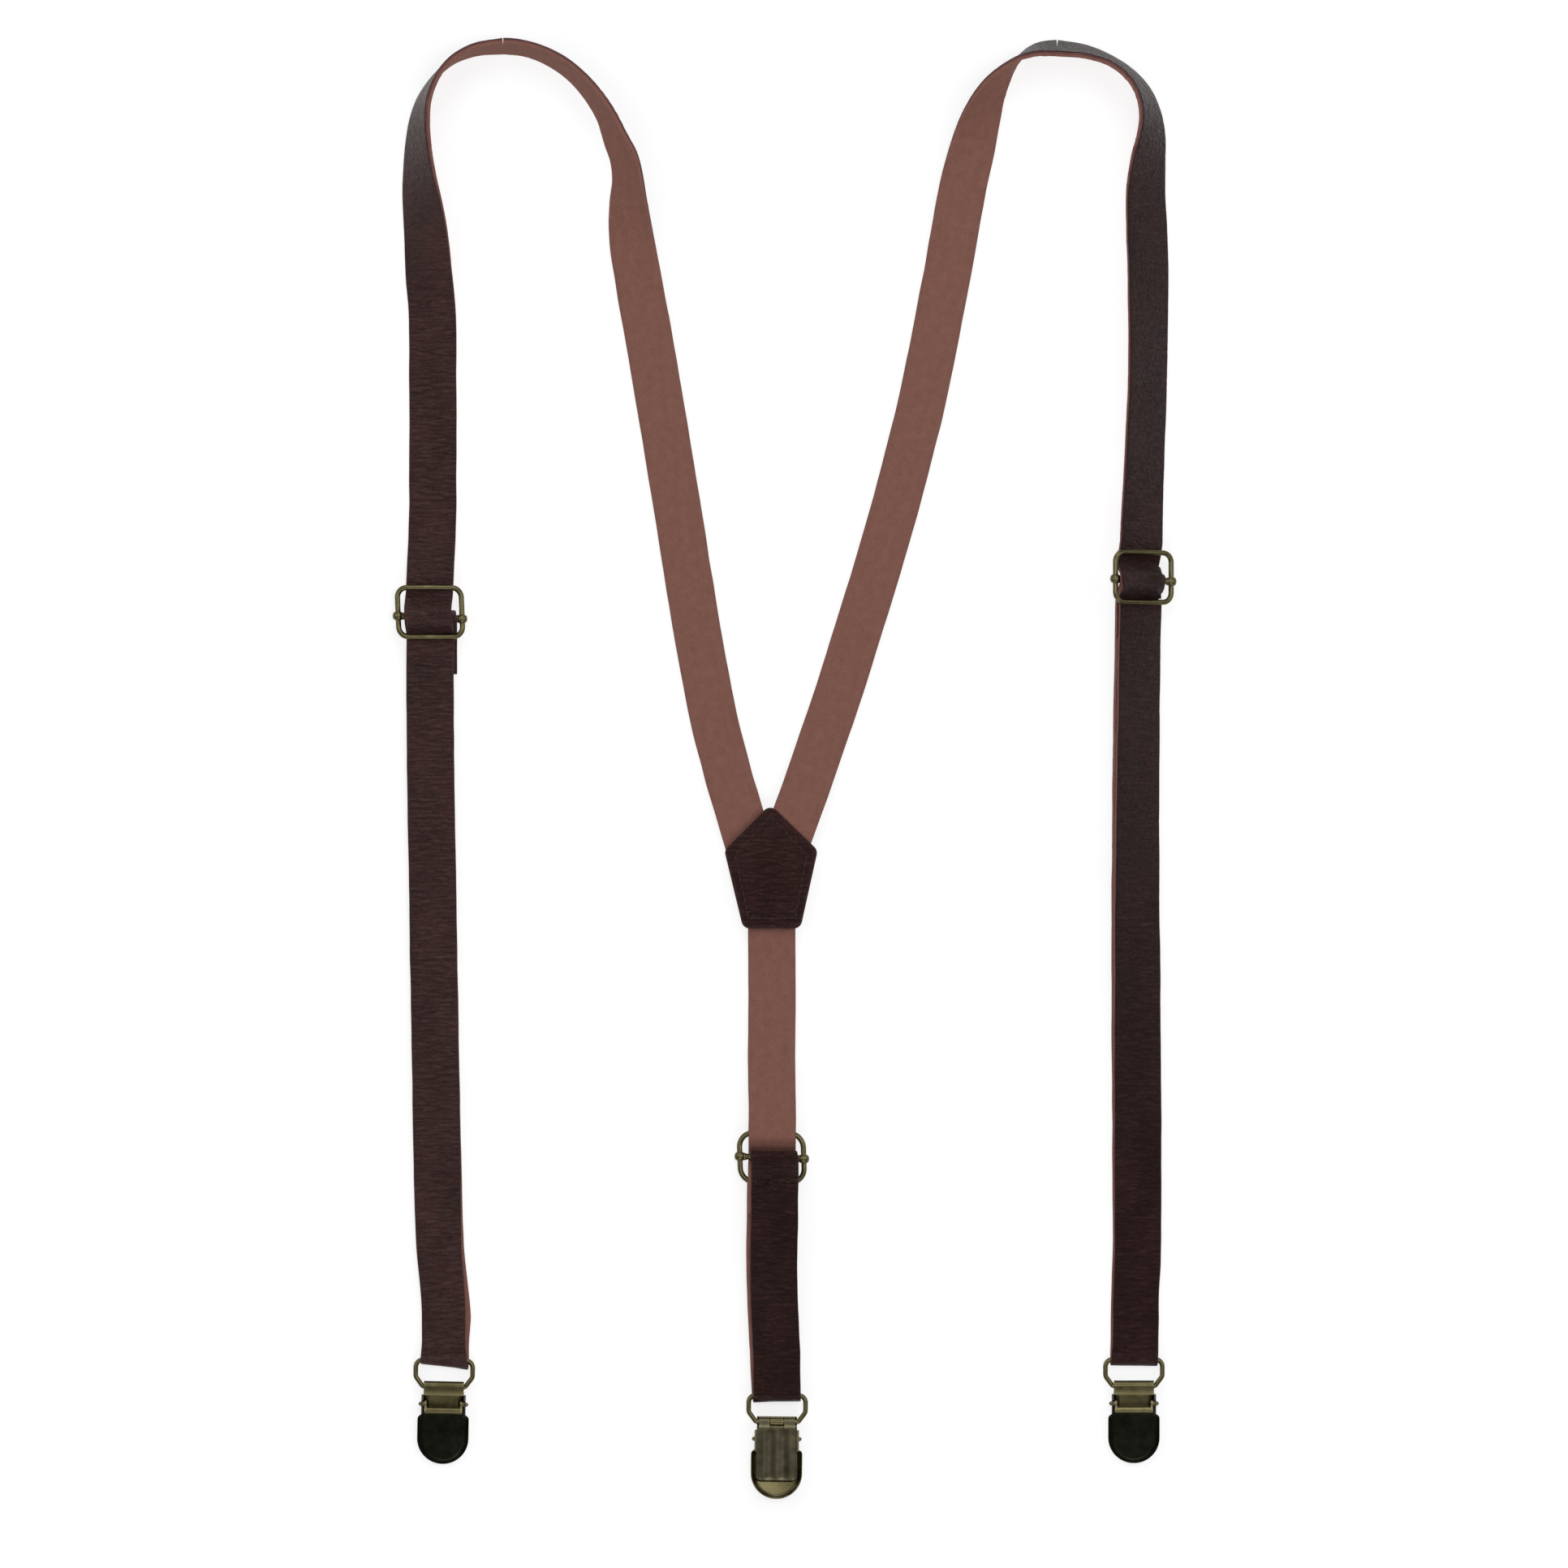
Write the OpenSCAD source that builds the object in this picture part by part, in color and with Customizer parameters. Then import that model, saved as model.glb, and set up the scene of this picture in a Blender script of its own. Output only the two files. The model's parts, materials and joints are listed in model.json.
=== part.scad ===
// Y-back leather suspenders with metal slides and clip ends, laid flat with the shoulder loops at +Y.
// Millimetres. The surface they lie on is z = 0 and the origin is under the middle of the whole part.
// Each end (left, right, back) runs strap, slide, doubled strap, ring, clip.

/* [Straps] */
// Width of every strap
strap_w = 17.5; // [16:0.5:18]
// Thickness of the strap leather
strap_t = 1.4; // [1.2:0.1:1.4]
// Air between two strap layers that lie on each other
layer_gap = 0.1; // [0.05:0.05:0.1]
// Length of the end that is folded back round the bar and sewn
tail_len = 21; // [18:1:22]

/* [Slide] */
// Width of the slide frame between the centres of its side wires
slide_w = 23.6; // [23.6:0.2:25]
// Height of the slide frame between the centres of its top and bottom wires
slide_h = 18.1; // [18:0.1:19]
// Bend radius of the slide frame's corners, at the centre of the wire
slide_bend = 3.6; // [3:0.1:4]
// Radius of the slide's wire and of its bar
slide_wire_r = 1; // [0.9:0.05:1]
// Radius of the eyes at the bar's ends
eye_r = 2.05; // [1.9:0.05:2.1]

/* [Ring] */
// Radius of the ring's wire
ring_wire_r = 0.9; // [0.8:0.05:0.9]
// Half of the ring's width, to the centre of its side wires
ring_half = 10.5; // [10.3:0.1:11]
// Half of the ring's lower bar, on which the clip hangs
ring_foot = 7.8; // [7.7:0.1:8]
// Distance between the ring's top bar and its lower bar
ring_pitch = 9.8; // [9.6:0.1:10.5]

/* [Clip] */
// Half of the clip's back plate
base_half = 7.45; // [7.4:0.05:7.5]
// Length of the back plate, from the ring's lower bar
base_len = 21.6; // [21:0.2:22]
// Thickness of the clip's sheet metal
sheet_t = 0.8; // [0.7:0.05:0.8]
// Half of the jaw plate
jaw_half = 6.65; // [6.4:0.05:6.7]
// Half of the lever's flap
flap_half = 9.5; // [9:0.1:9.6]
// Length of the lever's flap, from the ring's lower bar
flap_len = 28.8; // [27:0.2:29]

/* [Patch] */
// Thickness of each leather patch where the straps meet
patch_t = 1.2; // [1:0.1:1.2]
// Length of one stitch
stitch_len = 2.2; // [2:0.1:2.6]

/* [Hidden] */
$fn = 48;

grain = [0.24, 0.15, 0.14];
flesh = [0.48, 0.33, 0.3];
antique_brass = [0.36, 0.32, 0.2];
dark_metal = [0.13, 0.13, 0.1];
thread = [0.12, 0.08, 0.08];
nylon = [0.08, 0.08, 0.08];

fit = 0.05;                                     // radial clearance of a wire in its bore
fold_fit = 0.2;                                 // the same in the strap's fold, where the ring's bends begin
strap_gap = 0.6;                                // air where one stretch of strap hands over to the next
slant_gap = 1.2;                                // the same at the ring's fold, where the strap sets off at a slant
layer = strap_t + layer_gap;                    // height of one strap layer in a stack
slide_z = 3 * layer + 0.1 + slide_wire_r;       // height of the slide's wires over its stack
loop_r = slide_wire_r + fit + strap_t;          // outside of the sewn loop round the bar
crest_z = slide_z + loop_r + layer_gap;         // underside of the strap where it crosses the bar
slide_top = crest_z + strap_t + 0.05;           // height of the whole slide stack
sew_y = -6;                                     // where the sewn loop's two layers meet
neck = 26;                                      // length of the stack below the bar that stays flat
head = 14;                                      // length of the strap above the bar that stays flat
fold_r = ring_wire_r + fit + strap_t;           // outside of the fold round the ring
fold_len = 16;                                  // length of the fold's two legs
bridge_ys = [8, 1.6, -1.4];                     // where the strap starts to rise, and the crest's ends
seam_ys = [-9, -17];                            // rows of thread legs across the sewn loop
seam_pitch = 3;                                 // distance between two thread legs
knuckle_r = ring_wire_r + fit + sheet_t;        // outside of the clip's knuckles
pivot = [-6.4, 5.85];                           // the lever's axis from the ring's lower bar
pivot_r = 0.8;                                  // radius of the lever's trunnions
roll_at = [-8.84, 4.96];                        // centre of the lever's cam roll
roll_r = 1.4;                                   // radius of the cam roll
clip_top = pivot[1] + 1.5;                      // height of the whole clip
knuckle_xs = [2.7, 6.6];                        // each of the back plate's knuckles, from and to
tongue_half = 2.4;                              // half of the jaw plate's knuckle
root_y = -2.2;                                  // where the back plate leaves its knuckles
ear_t = 0.75;                                   // thickness of an ear
corner_cut = 2.4;                               // square cut off each lower corner of the back plate
pad_size = [12.4, 7, 0.5];                      // grip pad without its ribs
rib = [0.5, 0.35, 1.6];                         // half width, height and pitch of the pad's ribs
arm_half = 7;                                   // half of the lever at its arms
flap_slope = 8.5;                               // slope of the lever's flap
turn_steps = 4;                                 // ribbon sections between two route points
layer_steps = 24;                               // ribbon sections of a layer between ring and slide

// Ends: place of the slide's bar, its turn about z and its roll, its frame's shift along the strap,
// place of the ring's top bar and its turn about z, whether the end lies face up or face down, and
// how far the strap sways to the side above the ring.
LEFT = [[-131.1, 55.4], 0, 0, 1.95, [-125.8, -219.1], -1.2, 1, -2.5];
RIGHT = [[129.7, 69.2], -1, 29, 1.1, [129, -218.8], 0, 1, 0.8];
BACK = [[-4.8, -144.2], -0.6, 0, 0, [-2.8, -232], -0.6, -1, 0];

// Shoulder straps: x, y, roll and lift of hand-set points. A roll of 0 lies grain up, 90 stands on
// its edge with the grain facing out of the loop, and 180 lies flesh side up.
LEFT_ROUTE = [
    [-130.6, 172, 6, 0], [-131.6, 182, 12, 0], [-132.6, 196, 24, 0], [-133.8, 208, 36, 0],
    [-135, 219, 50, 0], [-135.5, 229, 60, 0], [-135, 239, 69, 0], [-133, 247.5, 78, 0],
    [-129, 255, 86, 0], [-122.5, 261.5, 93, 0], [-114.5, 265.2, 99, 0], [-104, 266.5, 103, 0],
    [-94, 265.2, 103, 0], [-84.5, 261, 104, 0], [-76, 254.5, 105, 0], [-70, 247.5, 107, 0],
    [-65.5, 240, 110, 0], [-62.2, 232, 116, 0], [-59.2, 225, 121, 0], [-57.8, 217, 127, 0],
    [-57.6, 208, 140, 0], [-56.4, 195, 158, 0], [-54.2, 181, 168, 0], [-50, 157.5, 176, 0],
    [-44, 121.5, 180, 0], [-38, 85.5, 180, 0], [-32.2, 49.5, 180, 0], [-25.2, 13.5, 180, 0],
    [-22, 1.5, 180, 0.2], [-20.2, -5.5, 180, 1], [-18.2, -12, 180, 1.3], [-12.9, -30, 180, 1.3]
];
RIGHT_ROUTE = [
    [134.2, 184, 33, 0], [133.8, 199, 32, 0], [133.4, 213, 37, 0], [134.2, 224, 47, 0],
    [135.3, 233, 57, 0], [135, 241, 67, 0], [132.8, 248.8, 74, 0], [128, 255.5, 80, 0],
    [121, 260.8, 82, 0], [112, 264.2, 79, 0], [100.5, 265.8, 75, 0], [92.5, 265, 80, 0],
    [86.6, 262, 90, 0], [82, 257.6, 102, 0], [78.6, 253.3, 113, 0], [75.2, 247.4, 126, 0],
    [72.2, 239.8, 142, 0], [69.4, 229.6, 158, 0], [66, 215.2, 170, 0], [62, 193.6, 178, 0],
    [57.6, 169.6, 180, 0], [50.3, 133.6, 180, 0], [41.1, 97.6, 180, 0], [30.5, 61.6, 180, 0],
    [19.2, 25.6, 180, 0], [11.6, 3.5, 180, 0.5], [9.2, -3.5, 180, 1.8], [6.8, -10.5, 180, 2.8],
    [0, -29, 180, 2.8]
];
// Front straps between shoulder and slide, and the back strap between patch and slide.
LEFT_FRONT_ROUTE = [[-130.4, 86, 0, 0.6], [-130.1, 110, 0, 0], [-130.1, 145, 0, 0]];
RIGHT_FRONT_ROUTE = [[132.2, 98, 32, 1], [133.3, 121.5, 36, 0], [134.2, 150, 37, 0]];
BACK_ROUTE = [[-4.8, -112, 0, 2.5], [-4.8, -92, 0, 0.5], [-4.8, -74, 0, 0.3]];
BACK_TOP = [[-4.8, -61, 0, 1.3], [-4.9, -36, 0, 1.3]];

// Patch: five corners of a shield with its point between the shoulder straps.
PATCH = [[-5.4, -13.6], [12.2, -30.6], [5.8, -59.6], [-15.4, -59.6], [-22.4, -30.6]];

// ---- geometry helpers ----

function unit(v) = v / norm(v);
function ease(s) = s * s * (3 - 2 * s);
// rises from 0 to 1 at peak and falls back to 0 at last
function bump(s, peak, last) =
    ease(min(1, s / peak)) * (1 - ease(max(0, min(1, (s - peak) / (last - peak)))));
function mix(a, b, s) = a * (1 - s) + b * s;

// Height of a ribbon's centre over the surface when it rests there with this roll.
function rest_z(roll, lift) = strap_w / 2 * abs(sin(roll)) + strap_t / 2 * abs(cos(roll)) + lift;
function laid(points) = [for (p = points) [p[0], p[1], rest_z(p[2], p[3]), p[2]]];

// Smooth route through x, y, z, roll points.
function spline(a, b, c, d, s) =
    0.5 * (2 * b + (c - a) * s + (2 * a - 5 * b + 4 * c - d) * s * s
        + (3 * b - a - 3 * c + d) * s * s * s);
function smooth(p) = [
    for (i = [0 : len(p) - 2], k = [0 : turn_steps - 1])
        spline(p[max(i - 1, 0)], p[i], p[i + 1], p[min(i + 2, len(p) - 1)], k / turn_steps),
    p[len(p) - 1]
];
function place_of(q) = [q[0], q[1], q[2]];

// Four corners of the strap at one point of a route. side is 1 where the loop turns to the right.
function corners(q, along, side) =
    let (
        out = side * unit(cross([0, 0, 1], along)),
        up = side * cross(along, out),
        facing = cos(q[3]) * up + sin(q[3]) * out,
        wide = cross(along, facing),
        w = wide * strap_w / 2,
        t = facing * strap_t / 2,
        c = place_of(q)
    ) [c - w - t, c + w - t, c + w + t, c - w + t];

// Strap swept along a smooth path, from one of its points to another.
module ribbon(path, side, first, end) {
    last = end - first;
    rings = [
        for (i = [first : end])
            corners(path[i], unit(place_of(path[min(i + 1, len(path) - 1)] - path[max(i - 1, 0)])), side)
    ];
    walls = [
        for (i = [0 : last - 1], k = [0 : 3])
            let (a = 4 * i + k, b = 4 * i + (k + 1) % 4)
                each [[a, a + 4, b], [b, a + 4, b + 4]]
    ];
    top = 4 * last;
    caps = [[0, 1, 2], [0, 2, 3], [top + 2, top + 1, top], [top + 3, top + 2, top]];
    polyhedron([for (r = rings) each r], concat(walls, caps));
}

// Stands a drawing of y and z up and extrudes it across the strap.
module across(width) {
    rotate([90, 0, 90]) linear_extrude(width, center = true) children();
}

// Underside of a strap layer that eases from one height to another, as y and z.
function slope(y0, z0, y1, z1) =
    [for (i = [0 : 10]) [mix(y0, y1, i / 10), mix(z0, z1, ease(i / 10))]];

// Points inside an arc from one angle to another, without its ends.
function arc(middle, r, from, to) =
    [for (i = [1 : 23]) let (turn = mix(from, to, i / 24)) middle + r * [cos(turn), sin(turn)]];

// Strap layer seen from the side, drawn by its underside.
module layer_profile(under) {
    polygon(concat(under, [for (i = [len(under) - 1 : -1 : 0]) under[i] + [0, strap_t]]));
}

// Round wire bent into a closed loop, counter-clockwise, with a bend radius at each corner.
module wire_loop(points, bends, r) {
    n = len(points);
    ways = [for (i = [0 : n - 1]) unit(points[(i + 1) % n] - points[i])];
    turns = [
        for (i = [0 : n - 1])
            let (a = ways[(i + n - 1) % n], b = ways[i]) atan2(a[0] * b[1] - a[1] * b[0], a * b)
    ];
    trims = [for (i = [0 : n - 1]) bends[i] * tan(turns[i] / 2)];
    for (i = [0 : n - 1]) {
        into = ways[(i + n - 1) % n];
        left = [-into[1], into[0]];
        straight = norm(points[(i + 1) % n] - points[i]) - trims[i] - trims[(i + 1) % n];
        translate(points[i] + ways[i] * trims[i]) rotate([0, 0, atan2(ways[i][1], ways[i][0])])
            rotate([0, 90, 0]) cylinder(r = r, h = straight);
        translate(points[i] - into * trims[i] + left * bends[i]) rotate([0, 0, atan2(-left[1], -left[0])])
            rotate_extrude(angle = turns[i]) translate([bends[i], 0]) circle(r);
    }
}

// Ring section round an axis, kept on the side where y has the given sign.
module half_turn(outer, inner, keep) {
    difference() {
        circle(outer);
        circle(inner);
        translate([keep > 0 ? -2 * outer : 0, -2 * outer]) square([2 * outer, 4 * outer]);
    }
}

// Puts a shape drawn round the slide's bar in its place, and turns a back-facing one over.
module at_slide(end) {
    translate([end[0][0], end[0][1], strap_w / 2 * sin(end[2])])
        rotate([0, 0, end[1]]) rotate([0, end[2], 0])
            translate([0, 0, end[6] > 0 ? 0 : slide_top]) rotate([0, end[6] > 0 ? 0 : 180, 0]) children();
}
module at_clip(end) {
    translate([end[4][0], end[4][1], end[6] > 0 ? 0 : clip_top])
        rotate([0, 0, end[5]]) rotate([0, end[6] > 0 ? 0 : 180, 0]) children();
}
module at_lower_bar() {
    translate([0, -ring_pitch, 0]) children();
}

// Centre of a strap layer near the slide or the ring, as x, y, z, roll. low is its underside.
function slide_point(end, y, low) =
    let (
        h = end[6] > 0 ? low + strap_t / 2 : slide_top - low - strap_t / 2,
        x = h * sin(end[2])
    ) [
        end[0][0] + x * cos(end[1]) - y * sin(end[1]), end[0][1] + x * sin(end[1]) + y * cos(end[1]),
        strap_w / 2 * sin(end[2]) + h * cos(end[2]), end[2]
    ];
function clip_point(end, y, low) =
    let (h = end[6] > 0 ? low + strap_t / 2 : clip_top - low - strap_t / 2) [
        end[4][0] - y * sin(end[5]), end[4][1] + y * cos(end[5]), h, 0
    ];

// Route of one of the two layers between ring and slide, from the ring up.
function layer_route(end, clip_low, slide_low) =
    let (
        a = clip_point(end, fold_len + slant_gap, clip_low),
        b = slide_point(end, -neck, slide_low),
        gap = b[1] - a[1],
        lean_a = -tan(end[5]) * gap,
        lean_b = -tan(end[1]) * gap
    ) [
        for (i = [0 : layer_steps])
            let (
                s = i / layer_steps, e = ease(s), roll = mix(0, b[3], e),
                h = mix(a[2], (b[2] - strap_w / 2 * sin(end[2])) / cos(end[2]), e)
            ) [
                mix(b[0], a[0], pow(1 - s, 1.8)) + lean_a * s * (1 - s) * (1 - s)
                    - lean_b * s * s * (1 - s) + end[7] * bump(s, 0.15, 0.8),
                mix(a[1], b[1], s), strap_w / 2 * sin(roll) + h * cos(roll), roll
            ]
    ];

// ---- slide ----

module slide_frame() {
    x = slide_w / 2;
    y = slide_h / 2;
    translate([0, 0, slide_z])
        wire_loop([[x, y], [-x, y], [-x, -y], [x, -y]], [for (k = [1 : 4]) slide_bend], slide_wire_r);
}

module slide_bar() {
    translate([0, 0, slide_z]) difference() {
        union() {
            rotate([0, 90, 0]) cylinder(r = slide_wire_r, h = slide_w, center = true);
            for (s = [-1, 1]) translate([s * slide_w / 2, 0, 0]) sphere(eye_r);
        }
        for (s = [-1, 1])
            translate([s * slide_w / 2, 0, 0]) rotate([90, 0, 0])
                cylinder(r = slide_wire_r + fit, h = 3 * eye_r, center = true);
    }
}

// The strap on its way through the slide: under the top wire, over the bar, under the bottom wire.
module strap_bridge() {
    across(strap_w) layer_profile(concat(
        [[head, 2 * layer]],
        slope(bridge_ys[0], 2 * layer, bridge_ys[1], crest_z),
        slope(bridge_ys[2], crest_z, sew_y, 2 * layer),
        [[-neck, 2 * layer]]
    ));
}

// The strap's end, folded back round the bar and sewn to itself.
module sewn_loop() {
    bore_r = slide_wire_r + fit;
    outside = concat(
        [[-neck, 0]], slope(sew_y, 0, 0, slide_z - loop_r), arc([0, slide_z], loop_r, -90, 90),
        slope(0, slide_z + loop_r, sew_y, layer + strap_t), [[-tail_len, layer + strap_t]]
    );
    inside = concat(
        [[-tail_len, layer]], slope(sew_y, layer, 0, slide_z + bore_r), arc([0, slide_z], bore_r, 90, -90),
        slope(0, slide_z - bore_r, sew_y, strap_t), [[-neck, strap_t]]
    );
    across(strap_w) polygon(concat(outside, inside));
}

// Thread legs that hold the tail: two rows across the strap.
module loop_stitching() {
    for (y = seam_ys, x = [-2 * seam_pitch : seam_pitch : 2 * seam_pitch])
        translate([x, y, 0.05]) cylinder(r = 0.3, h = 2 * layer - layer_gap, $fn = 24);
}

// ---- ring and fold ----

// The strap's turn round the ring's top bar.
module strap_fold() {
    across(strap_w) difference() {
        union() {
            translate([0, fold_r]) half_turn(fold_r, ring_wire_r + fold_fit, -1);
            layer_profile(concat(
                slope(0, 2 * fold_r - strap_t, 0.75 * fold_len, layer),
                [[fold_len, layer]]
            ));
            layer_profile([[0, 0], [fold_len, 0]]);
        }
        translate([0, fold_r]) circle(ring_wire_r + fold_fit);
    }
}

module ring() {
    knee = [ring_half, (ring_half - ring_foot) * 4 / 3 - ring_pitch];
    foot = [ring_foot, -ring_pitch];
    translate([0, 0, fold_r]) wire_loop(
        [[ring_half, 0], [-ring_half, 0], [-knee[0], knee[1]], [-foot[0], foot[1]], foot, knee],
        [2.6, 2.6, 1.8, 1.2, 1.2, 1.8], ring_wire_r
    );
}

// ---- clip ----

// A knuckle of the sheet metal round the ring's lower bar, from x0 to x1.
module knuckle(x0, x1) {
    translate([(x0 + x1) / 2, 0, 0]) across(abs(x1 - x0)) translate([0, fold_r]) difference() {
        circle(knuckle_r);
        circle(ring_wire_r + fit);
    }
}

// Back plate with two knuckles and the two ears that carry the lever.
module clip_base() {
    boss_r = clip_top - pivot[1];
    at_lower_bar() {
        for (s = [-1, 1]) {
            knuckle(s * knuckle_xs[0], s * knuckle_xs[1]);
            translate([s * (knuckle_xs[0] + knuckle_xs[1]) / 2, root_y / 2, sheet_t / 2])
                cube([knuckle_xs[1] - knuckle_xs[0], -root_y, sheet_t], center = true);
        }
        difference() {
            translate([-base_half, -base_len, 0]) cube([2 * base_half, base_len + root_y, sheet_t]);
            for (s = [-1, 1]) translate([s * base_half, -base_len, 0])
                rotate([0, 0, 45]) cube([corner_cut, corner_cut, 4], center = true);
        }
        for (s = [-1, 1]) translate([s * (base_half + ear_t / 2), 0, 0]) across(ear_t) difference() {
            union() {
                polygon([
                    [-11, 0], [-3, 0], [-3, 2.2], [pivot[0] + 1.4, 5.3], [pivot[0] - 1.4, 5.3], [-11, 2]
                ]);
                translate(pivot) circle(boss_r);
            }
            translate(pivot) circle(pivot_r + fit);
        }
    }
}

// Moulded pad with grip ribs inside the jaw.
module grip_pad() {
    low = 0.8 - base_len;
    at_lower_bar() {
        translate([-pad_size[0] / 2, low, sheet_t]) cube(pad_size);
        for (y = [low + 1 : rib[2] : low + pad_size[1] - 1])
            translate([0, y, sheet_t + pad_size[2]]) across(pad_size[0])
                polygon([[-rib[0], 0], [rib[0], 0], [0, rib[1]]]);
    }
}

// Jaw plate that swings on the ring's lower bar under the lever's cam roll.
module clip_jaw() {
    at_lower_bar() {
        knuckle(-tongue_half, tongue_half);
        across(2 * jaw_half) polygon([
            [-2, 3.1], [-2, 3.9], [-6, 3.4], [-9, 3.15], [-15, 3], [-20.6, 2.95], [-21.2, 2.4], [-21.2, 1.6],
            [-20.6, 1.6], [-20.4, 2.15], [-15, 2.2], [-9, 2.35], [-6, 2.6]
        ]);
        across(2 * tongue_half) polygon([[0.2, 3.35], [0.2, 4.1], [root_y, 3.87], [root_y, 3.1]]);
    }
}

// Lever: trunnions in the ears, a cam roll that presses the jaw, and a rounded thumb flap.
module clip_lever() {
    round_y = flap_half - flap_len - roll_at[0];
    shoulder = [-0.4, -2.3];
    at_lower_bar() {
        for (s = [-1, 1]) {
            translate([s * (arm_half + 0.7), pivot[0], pivot[1]])
                rotate([0, 90, 0]) cylinder(r = pivot_r, h = 3, center = true);
            translate([s * (arm_half - sheet_t / 2), 0, 0]) across(sheet_t) {
                translate(pivot) circle(1.3);
                translate(roll_at) circle(1.3);
                polygon([
                    pivot + [0.5, 1.2], pivot - [0.5, 1.2], roll_at - [0.5, 1.2], roll_at + [0.5, 1.2]
                ]);
            }
        }
        translate([0, roll_at[0], roll_at[1]]) {
            rotate([0, 90, 0]) cylinder(r = roll_r, h = 2 * arm_half, center = true);
            rotate([flap_slope, 0, 0]) translate([0, 0, -0.2]) linear_extrude(sheet_t) {
                polygon([
                    [-arm_half, 0], [-arm_half, shoulder[0]], [-flap_half, shoulder[1]],
                    [-flap_half, round_y], [flap_half, round_y],
                    [flap_half, shoulder[1]], [arm_half, shoulder[0]], [arm_half, 0]
                ]);
                translate([0, round_y]) difference() {
                    circle(flap_half);
                    translate([-flap_half, 0]) square(2 * flap_half);
                }
            }
        }
    }
}

// ---- patch ----

module patch_plate() {
    r = 2.5;
    middle = [-4.8, -38];
    hull() for (p = PATCH) translate(p + r * 1.2 * unit(middle - p)) circle(r, $fn = 32);
}

module patch_run(a, b) {
    count = floor(norm(b - a) / (1.35 * stitch_len));
    turn = atan2(b[1] - a[1], b[0] - a[0]);
    for (i = [0.5 : count]) let (p = mix(a, b, i / count))
        translate([p[0], p[1], 2 * patch_t + 2 * layer + 0.45]) rotate([0, 0, turn])
            cube([stitch_len, 0.6, 0.3], center = true);
}

// ---- pieces ----

// Smooth path of a strap from its slide on, through a front route and then the rest.
function strap_path(end, front, rest) =
    smooth(concat([slide_point(end, head + strap_gap, 2 * layer)], laid(front), laid(rest)));
function joined_at(front) = turn_steps * (1 + len(front));

module front_strap(end, front, rest, side) {
    color(grain) ribbon(strap_path(end, front, rest), side, 0, joined_at(front));
}
module shoulder_strap(end, front, rest, side) {
    path = strap_path(end, front, rest);
    color(flesh) ribbon(path, side, joined_at(front), len(path) - 1);
}
module left_shoulder_strap() { shoulder_strap(LEFT, LEFT_FRONT_ROUTE, LEFT_ROUTE, 1); }
module right_shoulder_strap() { shoulder_strap(RIGHT, RIGHT_FRONT_ROUTE, RIGHT_ROUTE, -1); }
module left_front_strap() { front_strap(LEFT, LEFT_FRONT_ROUTE, LEFT_ROUTE, 1); }
module right_front_strap() { front_strap(RIGHT, RIGHT_FRONT_ROUTE, RIGHT_ROUTE, -1); }
module back_strap() {
    path = strap_path(BACK, BACK_ROUTE, BACK_TOP);
    color(flesh) ribbon(path, 1, 0, len(path) - 1);
}
module patch_front() {
    color(grain) translate([0, 0, patch_t + 2 * layer + 0.1]) linear_extrude(patch_t) patch_plate();
}
module patch_back() { color(grain) linear_extrude(patch_t) patch_plate(); }
module patch_stitching() {
    middle = [-4.8, -38];
    inset = [for (p = PATCH) p + 4.4 * unit(middle - p)];
    color(thread) for (i = [0 : 4]) patch_run(inset[i], inset[(i + 1) % 5]);
}

module slider_frame(end) { color(antique_brass) at_slide(end) translate([0, end[3], 0]) slide_frame(); }
module slider_bar(end) { color(antique_brass) at_slide(end) slide_bar(); }
module bridge(end) { color(grain) at_slide(end) strap_bridge(); }
module loop(end) { color(grain) at_slide(end) sewn_loop(); }
module stitches(end) { color(thread) at_slide(end) loop_stitching(); }
module outer_layer(end) { color(grain) ribbon(layer_route(end, layer, 2 * layer), -1, 0, layer_steps); }
module inner_layer(end) { color(flesh) ribbon(layer_route(end, 0, 0), -1, 0, layer_steps); }
module fold(end) { color(grain) at_clip(end) strap_fold(); }
module end_ring(end) { color(antique_brass) at_clip(end) ring(); }
module base(end) { color(antique_brass) at_clip(end) clip_base(); }
module pad(end) { color(nylon) at_clip(end) grip_pad(); }
module jaw(end) { color(antique_brass) at_clip(end) clip_jaw(); }
module lever(end) { color(dark_metal) at_clip(end) clip_lever(); }

left_shoulder_strap();
left_front_strap();
right_shoulder_strap();
right_front_strap();
back_strap();
patch_front();
patch_back();
patch_stitching();
slider_frame(LEFT);  // left_slider_frame
slider_bar(LEFT);  // left_slider_bar
bridge(LEFT);  // left_strap_bridge
loop(LEFT);  // left_sewn_loop
stitches(LEFT);  // left_loop_stitching
outer_layer(LEFT);  // left_outer_layer
inner_layer(LEFT);  // left_inner_layer
fold(LEFT);  // left_strap_fold
end_ring(LEFT);  // left_ring
base(LEFT);  // left_clip_base
pad(LEFT);  // left_grip_pad
jaw(LEFT);  // left_clip_jaw
lever(LEFT);  // left_clip_lever
slider_frame(RIGHT);  // right_slider_frame
slider_bar(RIGHT);  // right_slider_bar
bridge(RIGHT);  // right_strap_bridge
loop(RIGHT);  // right_sewn_loop
stitches(RIGHT);  // right_loop_stitching
outer_layer(RIGHT);  // right_outer_layer
inner_layer(RIGHT);  // right_inner_layer
fold(RIGHT);  // right_strap_fold
end_ring(RIGHT);  // right_ring
base(RIGHT);  // right_clip_base
pad(RIGHT);  // right_grip_pad
jaw(RIGHT);  // right_clip_jaw
lever(RIGHT);  // right_clip_lever
slider_frame(BACK);  // back_slider_frame
slider_bar(BACK);  // back_slider_bar
bridge(BACK);  // back_strap_bridge
loop(BACK);  // back_sewn_loop
stitches(BACK);  // back_loop_stitching
outer_layer(BACK);  // back_outer_layer
inner_layer(BACK);  // back_inner_layer
fold(BACK);  // back_strap_fold
end_ring(BACK);  // back_ring
base(BACK);  // back_clip_base
pad(BACK);  // back_grip_pad
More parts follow.
